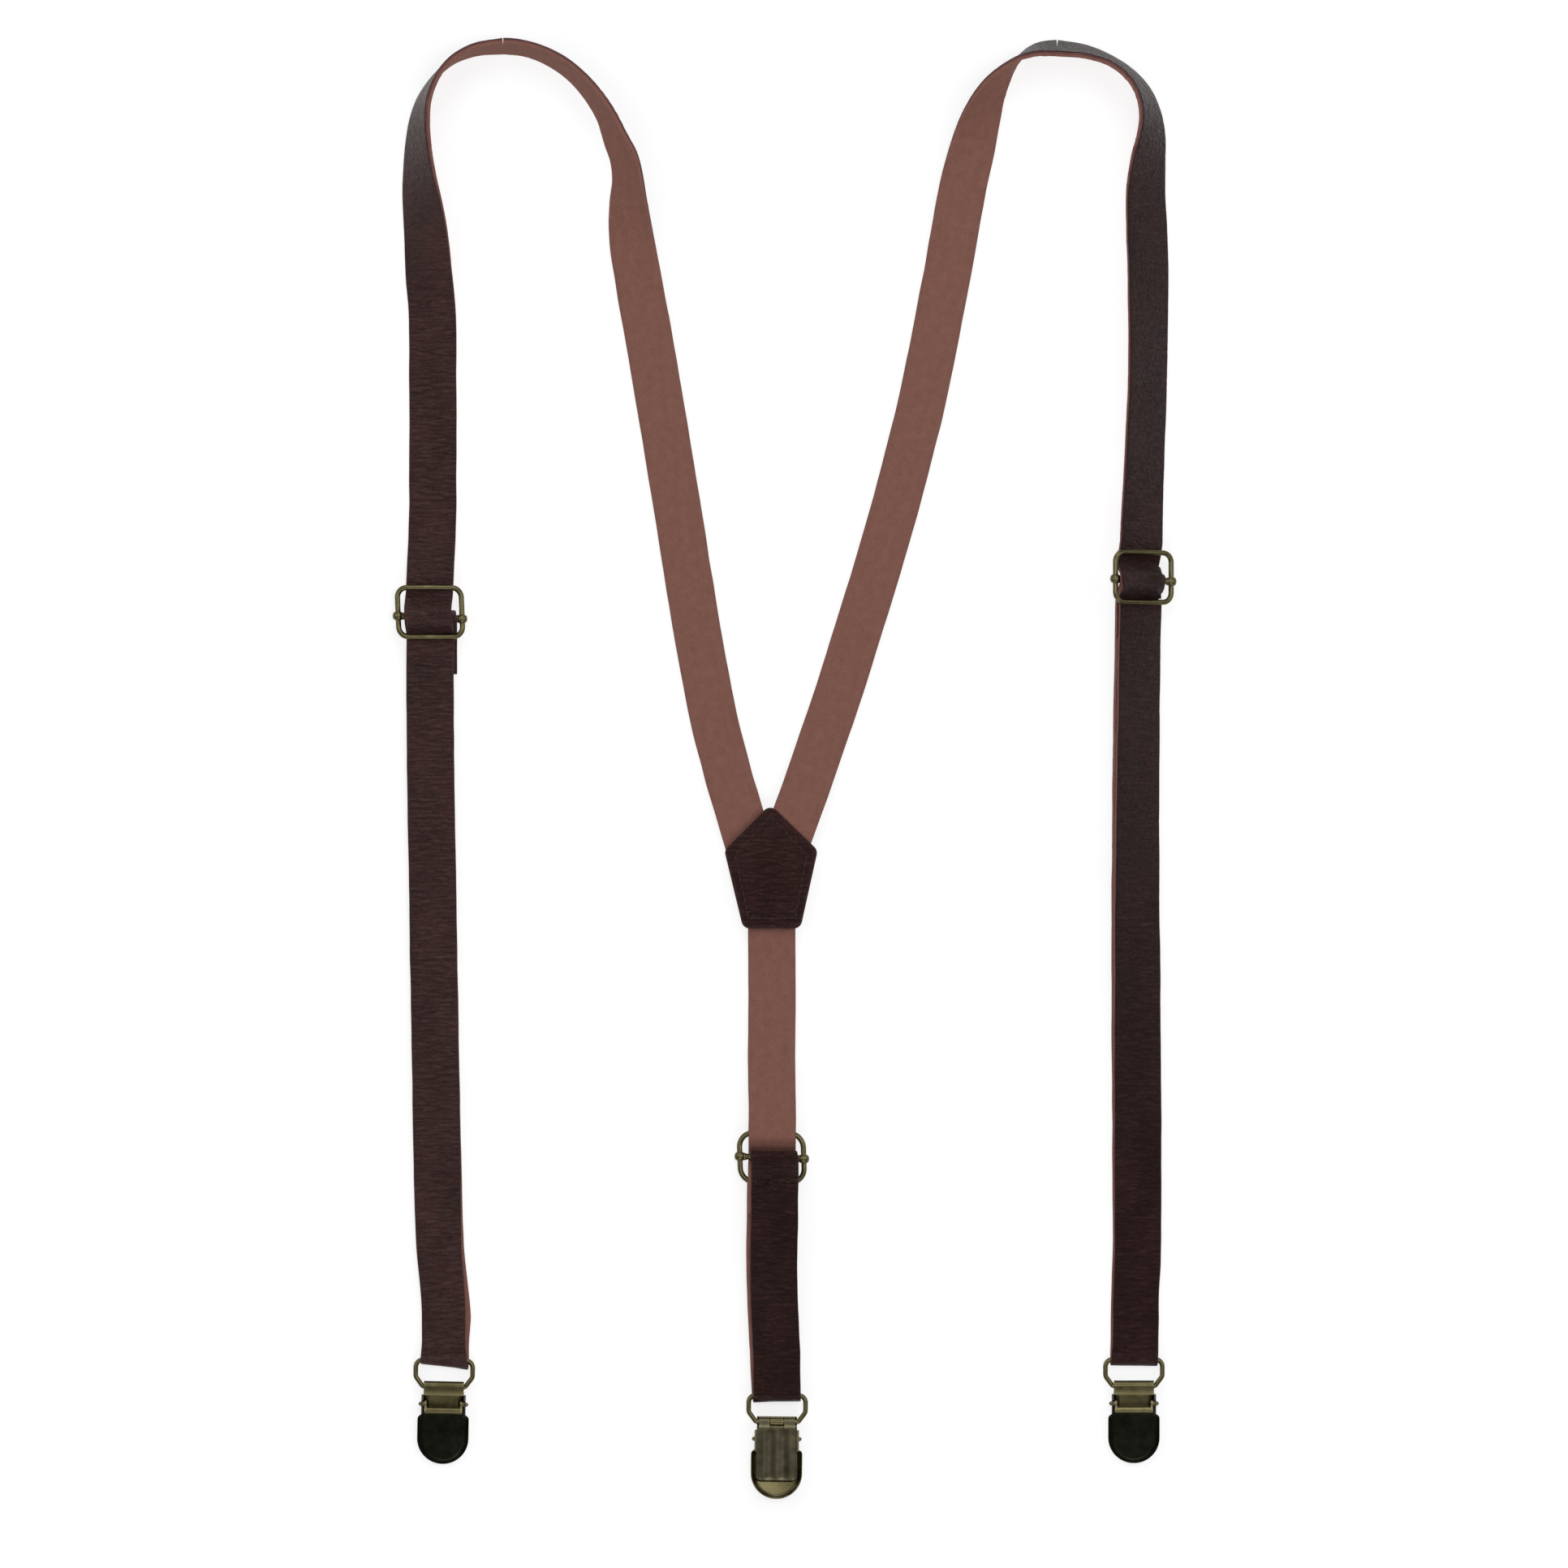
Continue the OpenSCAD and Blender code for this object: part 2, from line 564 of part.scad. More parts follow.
jaw(BACK);  // back_clip_jaw
lever(BACK);  // back_clip_lever
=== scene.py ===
import json
import math

import bmesh
import bpy
import numpy as np
from mathutils import Matrix, Vector, noise


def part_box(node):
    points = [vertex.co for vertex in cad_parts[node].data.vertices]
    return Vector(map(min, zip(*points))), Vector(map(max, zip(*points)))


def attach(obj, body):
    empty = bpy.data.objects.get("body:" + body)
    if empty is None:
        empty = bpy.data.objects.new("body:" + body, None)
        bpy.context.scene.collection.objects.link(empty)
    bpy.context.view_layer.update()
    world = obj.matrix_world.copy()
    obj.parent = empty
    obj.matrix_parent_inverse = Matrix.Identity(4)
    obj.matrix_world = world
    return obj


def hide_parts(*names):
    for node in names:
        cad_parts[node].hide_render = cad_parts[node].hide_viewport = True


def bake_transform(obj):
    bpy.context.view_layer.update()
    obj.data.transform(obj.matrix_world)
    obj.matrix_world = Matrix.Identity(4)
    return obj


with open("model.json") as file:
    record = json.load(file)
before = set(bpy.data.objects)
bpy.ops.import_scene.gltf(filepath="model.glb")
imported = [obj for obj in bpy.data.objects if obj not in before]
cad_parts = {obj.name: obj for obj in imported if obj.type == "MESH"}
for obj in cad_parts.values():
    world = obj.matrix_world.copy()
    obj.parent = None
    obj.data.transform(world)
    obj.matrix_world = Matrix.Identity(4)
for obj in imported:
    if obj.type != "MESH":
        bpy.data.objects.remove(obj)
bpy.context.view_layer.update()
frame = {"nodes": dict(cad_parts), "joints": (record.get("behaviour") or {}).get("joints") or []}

# Lengths are in millimetres until a mesh is made, and named as in the part's source.
MM = 0.001
STRAP_W, STRAP_T = 17.5, 1.4
LAYER = STRAP_T + 0.1            # height of one strap layer in a stack
TAIL = 21                        # length of the strap's folded and sewn end
SLIDE_W, SLIDE_H = 23.6, 18.1    # slide frame, to the wire's centre
WIRE_R, EYE_R = 1.0, 2.05
SLIDE_Z = 3 * LAYER + 0.1 + WIRE_R
LOOP_R = WIRE_R + 0.05 + STRAP_T
CREST_Z = SLIDE_Z + LOOP_R + 0.1
SLIDE_TOP = CREST_Z + STRAP_T + 0.05
SEW_Y, NECK, HEAD = -6.0, 26.0, 14.0
SEAM_UP = 0.3                    # how far the seam lies above the middle of the slide's bottom wire
SHOULDER = 300.0                 # the strap's own length at the top of its shoulder loop
WRINKLED_FROM = 1.2              # relief from which the leather's finish is wrinkled too
RING_R, RING_HALF, RING_FOOT, RING_PITCH = 0.9, 10.5, 7.8, 9.8
FOLD_R = RING_R + 0.05 + STRAP_T
FOLD_LEN = 16.0
PIVOT, PIVOT_R = (-6.4, 5.85), 0.8
ROLL_AT, ROLL_R = (-8.84, 4.96), 1.4
CLIP_TOP = PIVOT[1] + 1.5
BASE_HALF, BASE_LEN, SHEET_T = 7.45, 21.6, 0.8
JAW_HALF, FLAP_HALF, FLAP_LEN, FLAP_SLOPE, ARM = 6.65, 9.5, 28.8, 8.5, 7.0
PATCH_T = 1.2

# What each end has of its own: the slide's turn and roll, its frame's shift, lean and corner radius (bend),
# the bar's tilt, which way it faces, and how far the layers sway above the ring. side is how far the strap
# lies to the side over the bar, at the neck, at the ring's outer and inner layer, at the bar and at its tail,
# and fade how soon the layers lose that. narrow and skew shape the layers at the ring. relief is how
# wrinkled the leather is.
ENDS = {
    "left": {
        "turn": 0.0, "roll": 0.0, "shift": 1.95, "lean": 0.04, "bend": 3.6, "tilt": -2.7, "face": 1,
        "sway": -1.5, "side": (-0.8, 0.0, -0.6, 1.4, 0.0, 1.3), "fade": 7, "narrow": 0.08, "skew": 0.09,
        "relief": 1.0,
    },
    "right": {
        "turn": -1.0, "roll": 29.0, "shift": 1.1, "lean": 0.02, "bend": 3.4, "tilt": -1.5, "face": 1,
        "sway": 0.8, "side": (-2.6, 0.0, 0.8, -0.1, 0.0, -0.4), "fade": 7, "narrow": 0.03, "skew": 0.01,
        "relief": 1.3,
    },
    "back": {
        "turn": -0.6, "roll": 0.0, "shift": 0.0, "lean": -0.045, "bend": 5.2, "tilt": 1.7, "face": -1,
        "sway": 0.0, "side": (0.1, -0.3, -1.5, -0.4, 1.2, 0.0), "fade": 1, "narrow": 0.0, "skew": 0.015,
        "relief": 1.7,
    },
}
JOINTS = {j["name"]: j for j in frame["joints"]}
for name, end in ENDS.items():
    low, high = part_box(f"{name}_slider_bar")
    end["bar"] = (low + high) / 2 / MM
    swing = JOINTS[f"{name}_ring_swing"]
    end["ring"] = Vector(swing["pos_m"]) / MM
    along = Vector(swing["axis"]) * (1 if swing["axis"][0] > 0 else -1)
    end["clip_turn"] = math.degrees(math.atan2(along.y, along.x))

# Points of the straps: x, y, roll and lift. A roll of 0 lies grain up, 90 stands on its edge with
# the grain facing out of the shoulder loop, and 180 lies flesh side up.
LEFT_FRONT = [(-130.4, 86, 0, 0.6), (-130.1, 110, 0, 0), (-130.1, 145, 0, 0)]
LEFT_ROUTE = [
    (-130.6, 172, 6, 0), (-131.6, 182, 12, 0), (-132.6, 196, 24, 0), (-133.8, 208, 36, 0),
    (-135, 219, 50, 0), (-135.5, 229, 60, 0), (-135, 239, 69, 0), (-133, 247.5, 78, 0),
    (-129, 255, 86, 0), (-122.5, 261.5, 93, 0), (-114.5, 265.2, 99, 0), (-104, 266.5, 103, 0),
    (-94, 265.2, 103, 0), (-84.5, 261, 104, 0), (-76, 254.5, 105, 0), (-70, 247.5, 107, 0),
    (-65.5, 240, 110, 0), (-62.2, 232, 116, 0), (-59.2, 225, 121, 0), (-57.8, 217, 127, 0),
    (-57.6, 208, 140, 0), (-56.4, 195, 158, 0), (-54.2, 181, 168, 0), (-50, 157.5, 176, 0),
    (-44, 121.5, 180, 0), (-38, 85.5, 180, 0), (-32.2, 49.5, 180, 0), (-25.2, 13.5, 180, 0),
    (-22, 1.5, 180, 0.2), (-20.2, -5.5, 180, 1), (-18.2, -12, 180, 1.3), (-12.9, -30, 180, 1.3),
]
LEFT_TOP = 11                    # the route's point at the top of the loop
RIGHT_FRONT = [(132.2, 98, 32, 1), (133.3, 121.5, 36, 0), (134.2, 150, 37, 0)]
RIGHT_ROUTE = [
    (134.2, 184, 33, 0), (133.8, 199, 32, 0), (133.4, 213, 37, 0), (134.2, 224, 47, 0),
    (135.3, 233, 57, 0), (135, 241, 67, 0), (132.8, 248.8, 74, 0), (128, 255.5, 80, 0),
    (121, 260.8, 82, 0), (112, 264.2, 79, 0), (100.5, 265.8, 75, 0), (92.5, 265, 80, 0),
    (86.6, 262, 90, 0), (82, 257.6, 102, 0), (78.6, 253.3, 113, 0), (75.2, 247.4, 126, 0),
    (72.2, 239.8, 142, 0), (69.4, 229.6, 158, 0), (66, 215.2, 170, 0), (62, 193.6, 178, 0),
    (57.6, 169.6, 180, 0), (50.3, 133.6, 180, 0), (41.1, 97.6, 180, 0), (30.5, 61.6, 180, 0),
    (19.2, 25.6, 180, 0), (11.6, 3.5, 180, 0.5), (9.2, -3.5, 180, 1.8), (6.8, -10.5, 180, 2.8),
    (0, -29, 180, 2.8),
]
RIGHT_TOP = 10
BACK_ROUTE = [
    (-4.8, -112, 0, 2.5), (-4.8, -92, 0, 0.5), (-4.8, -74, 0, 0.3), (-4.8, -61, 0, 1.3), (-4.9, -36, 0, 1.3),
]
PATCH = [(-5.4, -13.6), (12.2, -30.6), (5.8, -59.6), (-15.4, -59.6), (-22.4, -30.6)]
PATCH_MIDDLE = np.array([-4.8, -38.0])


# ---- materials ----

def material(name):
    """A new node material and a helper that adds a node and links its inputs."""
    made = bpy.data.materials.new(name)
    made.use_nodes = True
    nodes, links = made.node_tree.nodes, made.node_tree.links

    def add(kind, inputs=None, **settings):
        node = nodes.new(kind)
        for key, value in settings.items():
            setattr(node, key, value)
        for key, value in (inputs or {}).items():
            if isinstance(value, bpy.types.NodeSocket):
                links.new(value, node.inputs[key])
            else:
                node.inputs[key].default_value = value
        return node

    return made, nodes["Principled BSDF"], add, links


def ramp(add, value, stops):
    """A colour ramp node over value, with stops of place and colour."""
    node = add("ShaderNodeValToRGB", {"Fac": value})
    elements = node.color_ramp.elements
    while len(elements) < len(stops):
        elements.new(0.5)
    for element, (place, colour) in zip(elements, stops):
        element.position = place
        element.color = (*colour, 1)
    return node.outputs["Color"]


def math_node(add, operation, a, b):
    return add("ShaderNodeMath", {0: a, 1: b}, operation=operation).outputs[0]


def mix_colour(add, share, a, b, blend="MIX"):
    node = add("ShaderNodeMix", {"Factor": share, 6: a, 7: b}, data_type="RGBA", blend_type=blend)
    return node.outputs[2]


def strap_vector(add, across, along):
    """The strap's own coordinates in metres, stretched so that one noise cell spans 1/across by 1/along."""
    uv = add("ShaderNodeUVMap", uv_map="strap").outputs["UV"]
    return add("ShaderNodeVectorMath", {0: uv, 1: (across, along, 1)}, operation="MULTIPLY").outputs[0]


def object_vector(add):
    return add("ShaderNodeTexCoord").outputs["Object"]


def noise_node(add, vector, scale, detail=3.0, rough=0.55, warp=0.0):
    inputs = {"Vector": vector, "Scale": scale, "Detail": detail, "Roughness": rough, "Distortion": warp}
    return add("ShaderNodeTexNoise", inputs).outputs["Fac"]


def grain_material(name, dark, light, pebble_scale, crease_share, depth=0.0012):
    """Grain side: transverse creases, with painted shade in their hollows and a painted highlight on their ridges,
    fine pebble, satin finish. depth is the bump's, in metres.
    """
    made, shader, add, links = material(name)
    creases = noise_node(add, strap_vector(add, 210, 820), 1.0, 5, 0.62, 1.1)
    patches = noise_node(add, strap_vector(add, 45, 28), 1.0, 3)
    pebble = add(
        "ShaderNodeTexVoronoi", {"Vector": strap_vector(add, 1, 1), "Scale": pebble_scale, "Smoothness": 0.6},
        feature="SMOOTH_F1",
    ).outputs["Distance"]
    fine = noise_node(add, strap_vector(add, 2600, 2600), 1.0, 4)
    tone = mix_colour(add, ramp(add, patches, [(0.35, (0, 0, 0)), (0.68, (1, 1, 1))]), (*dark, 1), (*light, 1))
    # Painted shade and highlight: the colour is darkened to 0.62 where the creases' bump lies low and lightened to
    # 1.22 where it lies high.
    shade = ramp(add, creases, [(0.36, (0.62, 0.6, 0.6)), (0.5, (1, 1, 1)), (0.68, (1.22, 1.16, 1.16))])
    links.new(mix_colour(add, 1.0, tone, shade, "MULTIPLY"), shader.inputs["Base Color"])
    folds = math_node(add, "MULTIPLY", creases, crease_share)
    height = math_node(add, "ADD", folds, math_node(add, "MULTIPLY", pebble, 0.45))
    height = math_node(add, "ADD", height, math_node(add, "MULTIPLY", fine, 0.1))
    bump = add("ShaderNodeBump", {"Height": height, "Strength": 1.0, "Distance": depth})
    links.new(bump.outputs[0], shader.inputs["Normal"])
    gloss = ramp(add, patches, [(0.3, (0.32, 0.32, 0.32)), (0.7, (0.46, 0.46, 0.46))])
    links.new(gloss, shader.inputs["Roughness"])
    shader.inputs["Specular IOR Level"].default_value = 0.3
    return made


def flesh_material():
    """Flesh side: matte, mottled, with fine loose fibres."""
    made, shader, add, links = material("leather_flesh")
    mottle = noise_node(add, strap_vector(add, 330, 300), 1.0, 5, 0.65)
    streaks = noise_node(add, strap_vector(add, 420, 60), 1.0, 3)
    fibres = noise_node(add, strap_vector(add, 1500, 1500), 1.0, 4, 0.7)
    stops = [(0.3, (0.2, 0.09, 0.067)), (0.5, (0.222, 0.1, 0.076)), (0.72, (0.245, 0.113, 0.087))]
    tone = ramp(add, mottle, stops)
    shade = ramp(add, streaks, [(0.3, (0.96, 0.955, 0.95)), (0.7, (1.03, 1.03, 1.03))])
    tone = mix_colour(add, 1.0, tone, shade, "MULTIPLY")
    specks = ramp(add, fibres, [(0.33, (0.88, 0.87, 0.87)), (0.5, (1, 1, 1)), (0.74, (1.08, 1.07, 1.07))])
    links.new(mix_colour(add, 1.0, tone, specks, "MULTIPLY"), shader.inputs["Base Color"])
    height = math_node(add, "ADD", math_node(add, "MULTIPLY", mottle, 0.5), math_node(add, "MULTIPLY", fibres, 0.5))
    bump = add("ShaderNodeBump", {"Height": height, "Strength": 0.6, "Distance": 0.0003})
    links.new(bump.outputs[0], shader.inputs["Normal"])
    shader.inputs["Roughness"].default_value = 0.92
    shader.inputs["Specular IOR Level"].default_value = 0.25
    return made


def edge_material():
    """Cut edge on the grain side's half: reddish layered fibre."""
    made, shader, add, links = material("leather_edge")
    layers = noise_node(add, strap_vector(add, 2400, 160), 1.0, 4, 0.6, 0.3)
    stops = [(0.3, (0.07, 0.022, 0.02)), (0.55, (0.13, 0.042, 0.04)), (0.75, (0.2, 0.075, 0.068))]
    tone = ramp(add, layers, stops)
    links.new(tone, shader.inputs["Base Color"])
    bump = add("ShaderNodeBump", {"Height": layers, "Strength": 0.5, "Distance": 0.0002})
    links.new(bump.outputs[0], shader.inputs["Normal"])
    shader.inputs["Roughness"].default_value = 0.75
    return made


def metal_material(name, dark, bright, rough, worn):
    """Antique plated brass: dark patina, lighter where it is worn on its convex edges. Two copies are darkened by
    their colours as painted shade and painted reflection.
    """
    made, shader, add, links = material(name)
    vector = object_vector(add)
    cloud = noise_node(add, vector, 260, 5, 0.6)
    grit = noise_node(add, vector, 2200, 3)
    edge = add("ShaderNodeNewGeometry").outputs["Pointiness"]
    wear = ramp(add, edge, [(0.5, (0, 0, 0)), (0.58, (worn, worn, worn))])
    patina = ramp(add, cloud, [(0.32, (0, 0, 0)), (0.7, (1, 1, 1))])
    tone = mix_colour(add, math_node(add, "MULTIPLY", patina, 0.55), (*dark, 1), (*bright, 1))
    tone = mix_colour(add, wear, tone, (*[min(1, 1.6 * c) for c in bright], 1))
    links.new(tone, shader.inputs["Base Color"])
    gloss = math_node(add, "ADD", rough - 0.07, math_node(add, "MULTIPLY", cloud, 0.14))
    links.new(gloss, shader.inputs["Roughness"])
    bump = add("ShaderNodeBump", {"Height": grit, "Strength": 0.12, "Distance": 0.0001})
    links.new(bump.outputs[0], shader.inputs["Normal"])
    shader.inputs["Metallic"].default_value = 1.0
    return made


def thread_material():
    made, shader, add, links = material("waxed_thread")
    twist = add(
        "ShaderNodeTexWave", {"Vector": object_vector(add), "Scale": 900, "Distortion": 2},
        wave_type="BANDS", bands_direction="DIAGONAL",
    ).outputs["Fac"]
    tone = ramp(add, twist, [(0.2, (0.012, 0.006, 0.006)), (0.8, (0.035, 0.018, 0.017))])
    links.new(tone, shader.inputs["Base Color"])
    bump = add("ShaderNodeBump", {"Height": twist, "Strength": 0.5, "Distance": 0.0001})
    links.new(bump.outputs[0], shader.inputs["Normal"])
    shader.inputs["Roughness"].default_value = 0.6
    return made


def nylon_material():
    made, shader, add, links = material("nylon_pad")
    speck = noise_node(add, object_vector(add), 1800, 3)
    tone = ramp(add, speck, [(0.3, (0.012, 0.012, 0.012)), (0.7, (0.03, 0.03, 0.03))])
    links.new(tone, shader.inputs["Base Color"])
    bump = add("ShaderNodeBump", {"Height": speck, "Strength": 0.3, "Distance": 0.0001})
    links.new(bump.outputs[0], shader.inputs["Normal"])
    shader.inputs["Roughness"].default_value = 0.55
    return made


GRAIN = grain_material("leather_grain", (0.036, 0.0135, 0.0112), (0.056, 0.0205, 0.0182), 700, 1.0)
WRINKLED = grain_material(
    "leather_grain_wrinkled", (0.036, 0.0135, 0.0115), (0.056, 0.0205, 0.0185), 700, 1.3, 0.0034,
)
PATCH_GRAIN = grain_material("patch_grain", (0.038, 0.0135, 0.0117), (0.058, 0.0205, 0.0185), 620, 1.0, 0.0028)
FLESH, EDGE = flesh_material(), edge_material()
BRASS = metal_material("antique_brass", (0.072, 0.062, 0.028), (0.175, 0.148, 0.076), 0.33, 0.5)
OLIVE = metal_material("olive_brass", (0.06, 0.054, 0.034), (0.15, 0.13, 0.08), 0.34, 0.6)
# Darker, browner copy of the brass: painted shade for a clip's base where it lies under the jaw.
PAINTED_SHADE_BRASS = metal_material("brass_painted_shade", (0.035, 0.026, 0.025), (0.07, 0.052, 0.05), 0.32, 0.4)
# Near-black copy of the brass: a painted dark reflection for the lever flap's front, which is the same brass.
PAINTED_REFLECTION_BRASS = metal_material("blackened_brass", (0.011, 0.012, 0.008), (0.026, 0.027, 0.017), 0.3, 0.25)
THREAD, NYLON = thread_material(), nylon_material()


# ---- meshes ----

def mesh_object(name, points, faces, materials, face_materials=None, uvs=None, sharp=None):
    """An object from points in millimetres, with a material index and corner UVs (in metres) for each face."""
    mesh = bpy.data.meshes.new(name)
    mesh.from_pydata((np.asarray(points, float) * MM).tolist(), [], faces)
    for each in materials:
        mesh.materials.append(each)
    mesh.polygons.foreach_set("use_smooth", [True] * len(faces))
    if face_materials is not None:
        mesh.polygons.foreach_set("material_index", face_materials)
    if uvs is not None:
        layer = mesh.uv_layers.new(name="strap")
        layer.data.foreach_set("uv", np.asarray(uvs, np.float32).ravel())
    mesh.update()
    if sharp is not None:
        mesh.set_sharp_from_angle(angle=math.radians(sharp))
    made = bpy.data.objects.new(name, mesh)
    bpy.context.scene.collection.objects.link(made)
    return made


def unit(v):
    v = np.asarray(v, float)
    return v / np.maximum(np.linalg.norm(v, axis=-1, keepdims=True), 1e-12)


def ease(s):
    """Smooth step from 0 to 1, flat outside."""
    s = np.clip(s, 0, 1)
    return s * s * (3 - 2 * s)


def bump(s, peak, last):
    """Rises from 0 to 1 at peak and falls back to 0 at last."""
    return ease(s / peak) * (1 - ease((s - peak) / (last - peak)))


def turned(points, x=0.0, y=0.0, z=0.0):
    """Points turned about x, then y, then z, in degrees."""
    spin = Matrix.Rotation(math.radians(z), 3, "Z") @ Matrix.Rotation(math.radians(y), 3, "Y")
    spin = spin @ Matrix.Rotation(math.radians(x), 3, "X")
    return np.asarray(points, float) @ np.array(spin).T


def at_slide(end, points, direction=False):
    """From the slide's own frame (its bar along x, the strap along y) to the row frame."""
    points = np.atleast_2d(np.asarray(points, float))
    if end["face"] < 0:
        points = points * [-1, 1, -1] + ([0, 0, 0] if direction else [0, 0, SLIDE_TOP])
    points = turned(points, y=end["roll"], z=end["turn"])
    if direction:
        return points
    bar = turned([[0, 0, SLIDE_Z if end["face"] > 0 else SLIDE_TOP - SLIDE_Z]], y=end["roll"], z=end["turn"])
    return points - bar + np.array(end["bar"])


def at_clip(end, points, direction=False):
    """From the clip's own frame (the ring's top bar along x) to the row frame."""
    points = np.atleast_2d(np.asarray(points, float))
    if end["face"] < 0:
        points = points * [-1, 1, -1] + ([0, 0, 0] if direction else [0, 0, CLIP_TOP])
    points = turned(points, z=end["clip_turn"])
    return points if direction else points + [end["ring"].x, end["ring"].y, 0]


# ---- straps ----

def laid(route):
    """Route points as x, y, height of the strap's centre, roll."""
    made = []
    for x, y, roll, lift in route:
        r = math.radians(roll)
        made.append((x, y, STRAP_W / 2 * abs(math.sin(r)) + STRAP_T / 2 * abs(math.cos(r)) + lift, roll))
    return made


def smooth_path(points, step=0.9):
    """Smooth curve through points, sampled about every step along the first three columns."""
    p = np.asarray(points, float)
    h = np.linalg.norm(np.diff(p[:, :3], axis=0), axis=1)
    slopes = np.diff(p, axis=0) / h[:, None]
    m = np.vstack([
        slopes[:1], (slopes[:-1] * h[1:, None] + slopes[1:] * h[:-1, None]) / (h[:-1] + h[1:])[:, None], slopes[-1:],
    ])
    made = []
    for i in range(len(h)):
        count = max(1, round(h[i] / step))
        for k in range(count):
            s = k / count
            made.append(
                (1 + 2 * s) * (1 - s) ** 2 * p[i] + s * (1 - s) ** 2 * h[i] * m[i]
                + s * s * (3 - 2 * s) * p[i + 1] + s * s * (s - 1) * h[i] * m[i + 1]
            )
    return np.array(made + [p[-1]])


def tangents(centres):
    return unit(np.gradient(centres, axis=0))


def rolled(path, side):
    """Centres and grain-side normals of a path of x, y, z, roll. side is 1 where the loop turns to the right."""
    centres, roll = path[:, :3], np.radians(path[:, 3])[:, None]
    along = tangents(centres)
    out = side * unit(np.cross([0, 0, 1], along))
    up = side * np.cross(along, out)
    return centres, np.cos(roll) * up + np.sin(roll) * out


def profile(place, end, outline, flip=1, sides=(0, 0)):
    """Centres and grain-side normals of a strap drawn as y and z in an end's own frame.
    sides are evenly spaced values of how far it lies to the side, in the row frame's x."""
    yz = np.asarray(outline, float)
    along = unit(np.gradient(yz, axis=0))
    share = np.interp(np.linspace(0, 1, len(yz)), np.linspace(0, 1, len(sides)), sides) * end["face"]
    points = np.column_stack([share, yz])
    normals = flip * np.column_stack([np.zeros(len(yz)), -along[:, 1], along[:, 0]])
    return place(end, points), place(end, normals, direction=True)


def line(a, b, step=0.9):
    """Points from a to b, without b."""
    count = max(1, round(math.dist(a, b) / step))
    return [tuple(np.array(a) + (np.array(b) - np.array(a)) * k / count) for k in range(count)]


def slope(a, b, count=8):
    """Points from a to b that ease in height, without b."""
    return [
        (a[0] + (b[0] - a[0]) * k / count, a[1] + (b[1] - a[1]) * ease(k / count)) for k in range(count)
    ]


def arc(middle, r, start, stop, count=14):
    """Points on an arc from one angle to another in degrees, without the last."""
    turns = np.radians(start + (stop - start) * np.arange(count) / count)
    return [(middle[0] + r * math.cos(t), middle[1] + r * math.sin(t)) for t in turns]


ROUND_GRAIN, ROUND_FLESH = 0.42, 0.2


def section():
    """The strap's cross-section, counter-clockwise from the grain side's left, and each segment's material."""
    half, t = STRAP_W / 2, STRAP_T / 2
    points, kinds = [], []
    inner = half - ROUND_GRAIN
    for k in range(15):
        points.append((-inner + 2 * inner * k / 14, t))
        kinds.append(0)
    for k in (1, 2):
        a = math.radians(30 * k)
        points.append((inner + ROUND_GRAIN * math.sin(a), t - ROUND_GRAIN * (1 - math.cos(a))))
        kinds.append(0 if k == 1 else 1)
    points += [(half, t - ROUND_GRAIN), (half, 0.0), (half, -t + ROUND_FLESH)]
    kinds += [1, 2, 2]
    inner = half - ROUND_FLESH
    for k in range(15):
        points.append((inner - 2 * inner * k / 14, -t))
        kinds.append(2)
    points += [(-half, -t + ROUND_FLESH), (-half, 0.0), (-half, t - ROUND_GRAIN)]
    kinds += [2, 1, 1]
    for k in (2, 1):
        a = math.radians(30 * k)
        points.append((ROUND_GRAIN - half - ROUND_GRAIN * math.sin(a), t - ROUND_GRAIN * (1 - math.cos(a))))
        kinds.append(0)
    return np.array(points), kinds


def run_length(points):
    """The length run along points up to each of them."""
    return np.concatenate([[0], np.cumsum(np.linalg.norm(np.diff(points, axis=0), axis=1))])


def strap_relief(a, v, seed):
    """How far the sheet is lifted at a across and v along: soft waves and transverse creases."""
    wave = noise.noise(Vector((a / 16, v / 13, seed))) * 0.16
    wide = noise.noise(Vector((a / 7, v / 2.6, seed + 7.3)))
    where = max(0.0, noise.noise(Vector((a / 15, v / 20, seed + 3.1))) + 0.25)
    crease = -0.16 * max(0.0, 1 - abs(wide) / 0.13) * where
    return wave + crease + 0.05 * noise.noise(Vector((a / 4, v / 1.7, seed + 1.9)))


def smoothed(values, n):
    """Values averaged over n neighbours on each side."""
    return np.convolve(np.pad(values, n, "edge"), np.ones(2 * n + 1) / (2 * n + 1), "valid")


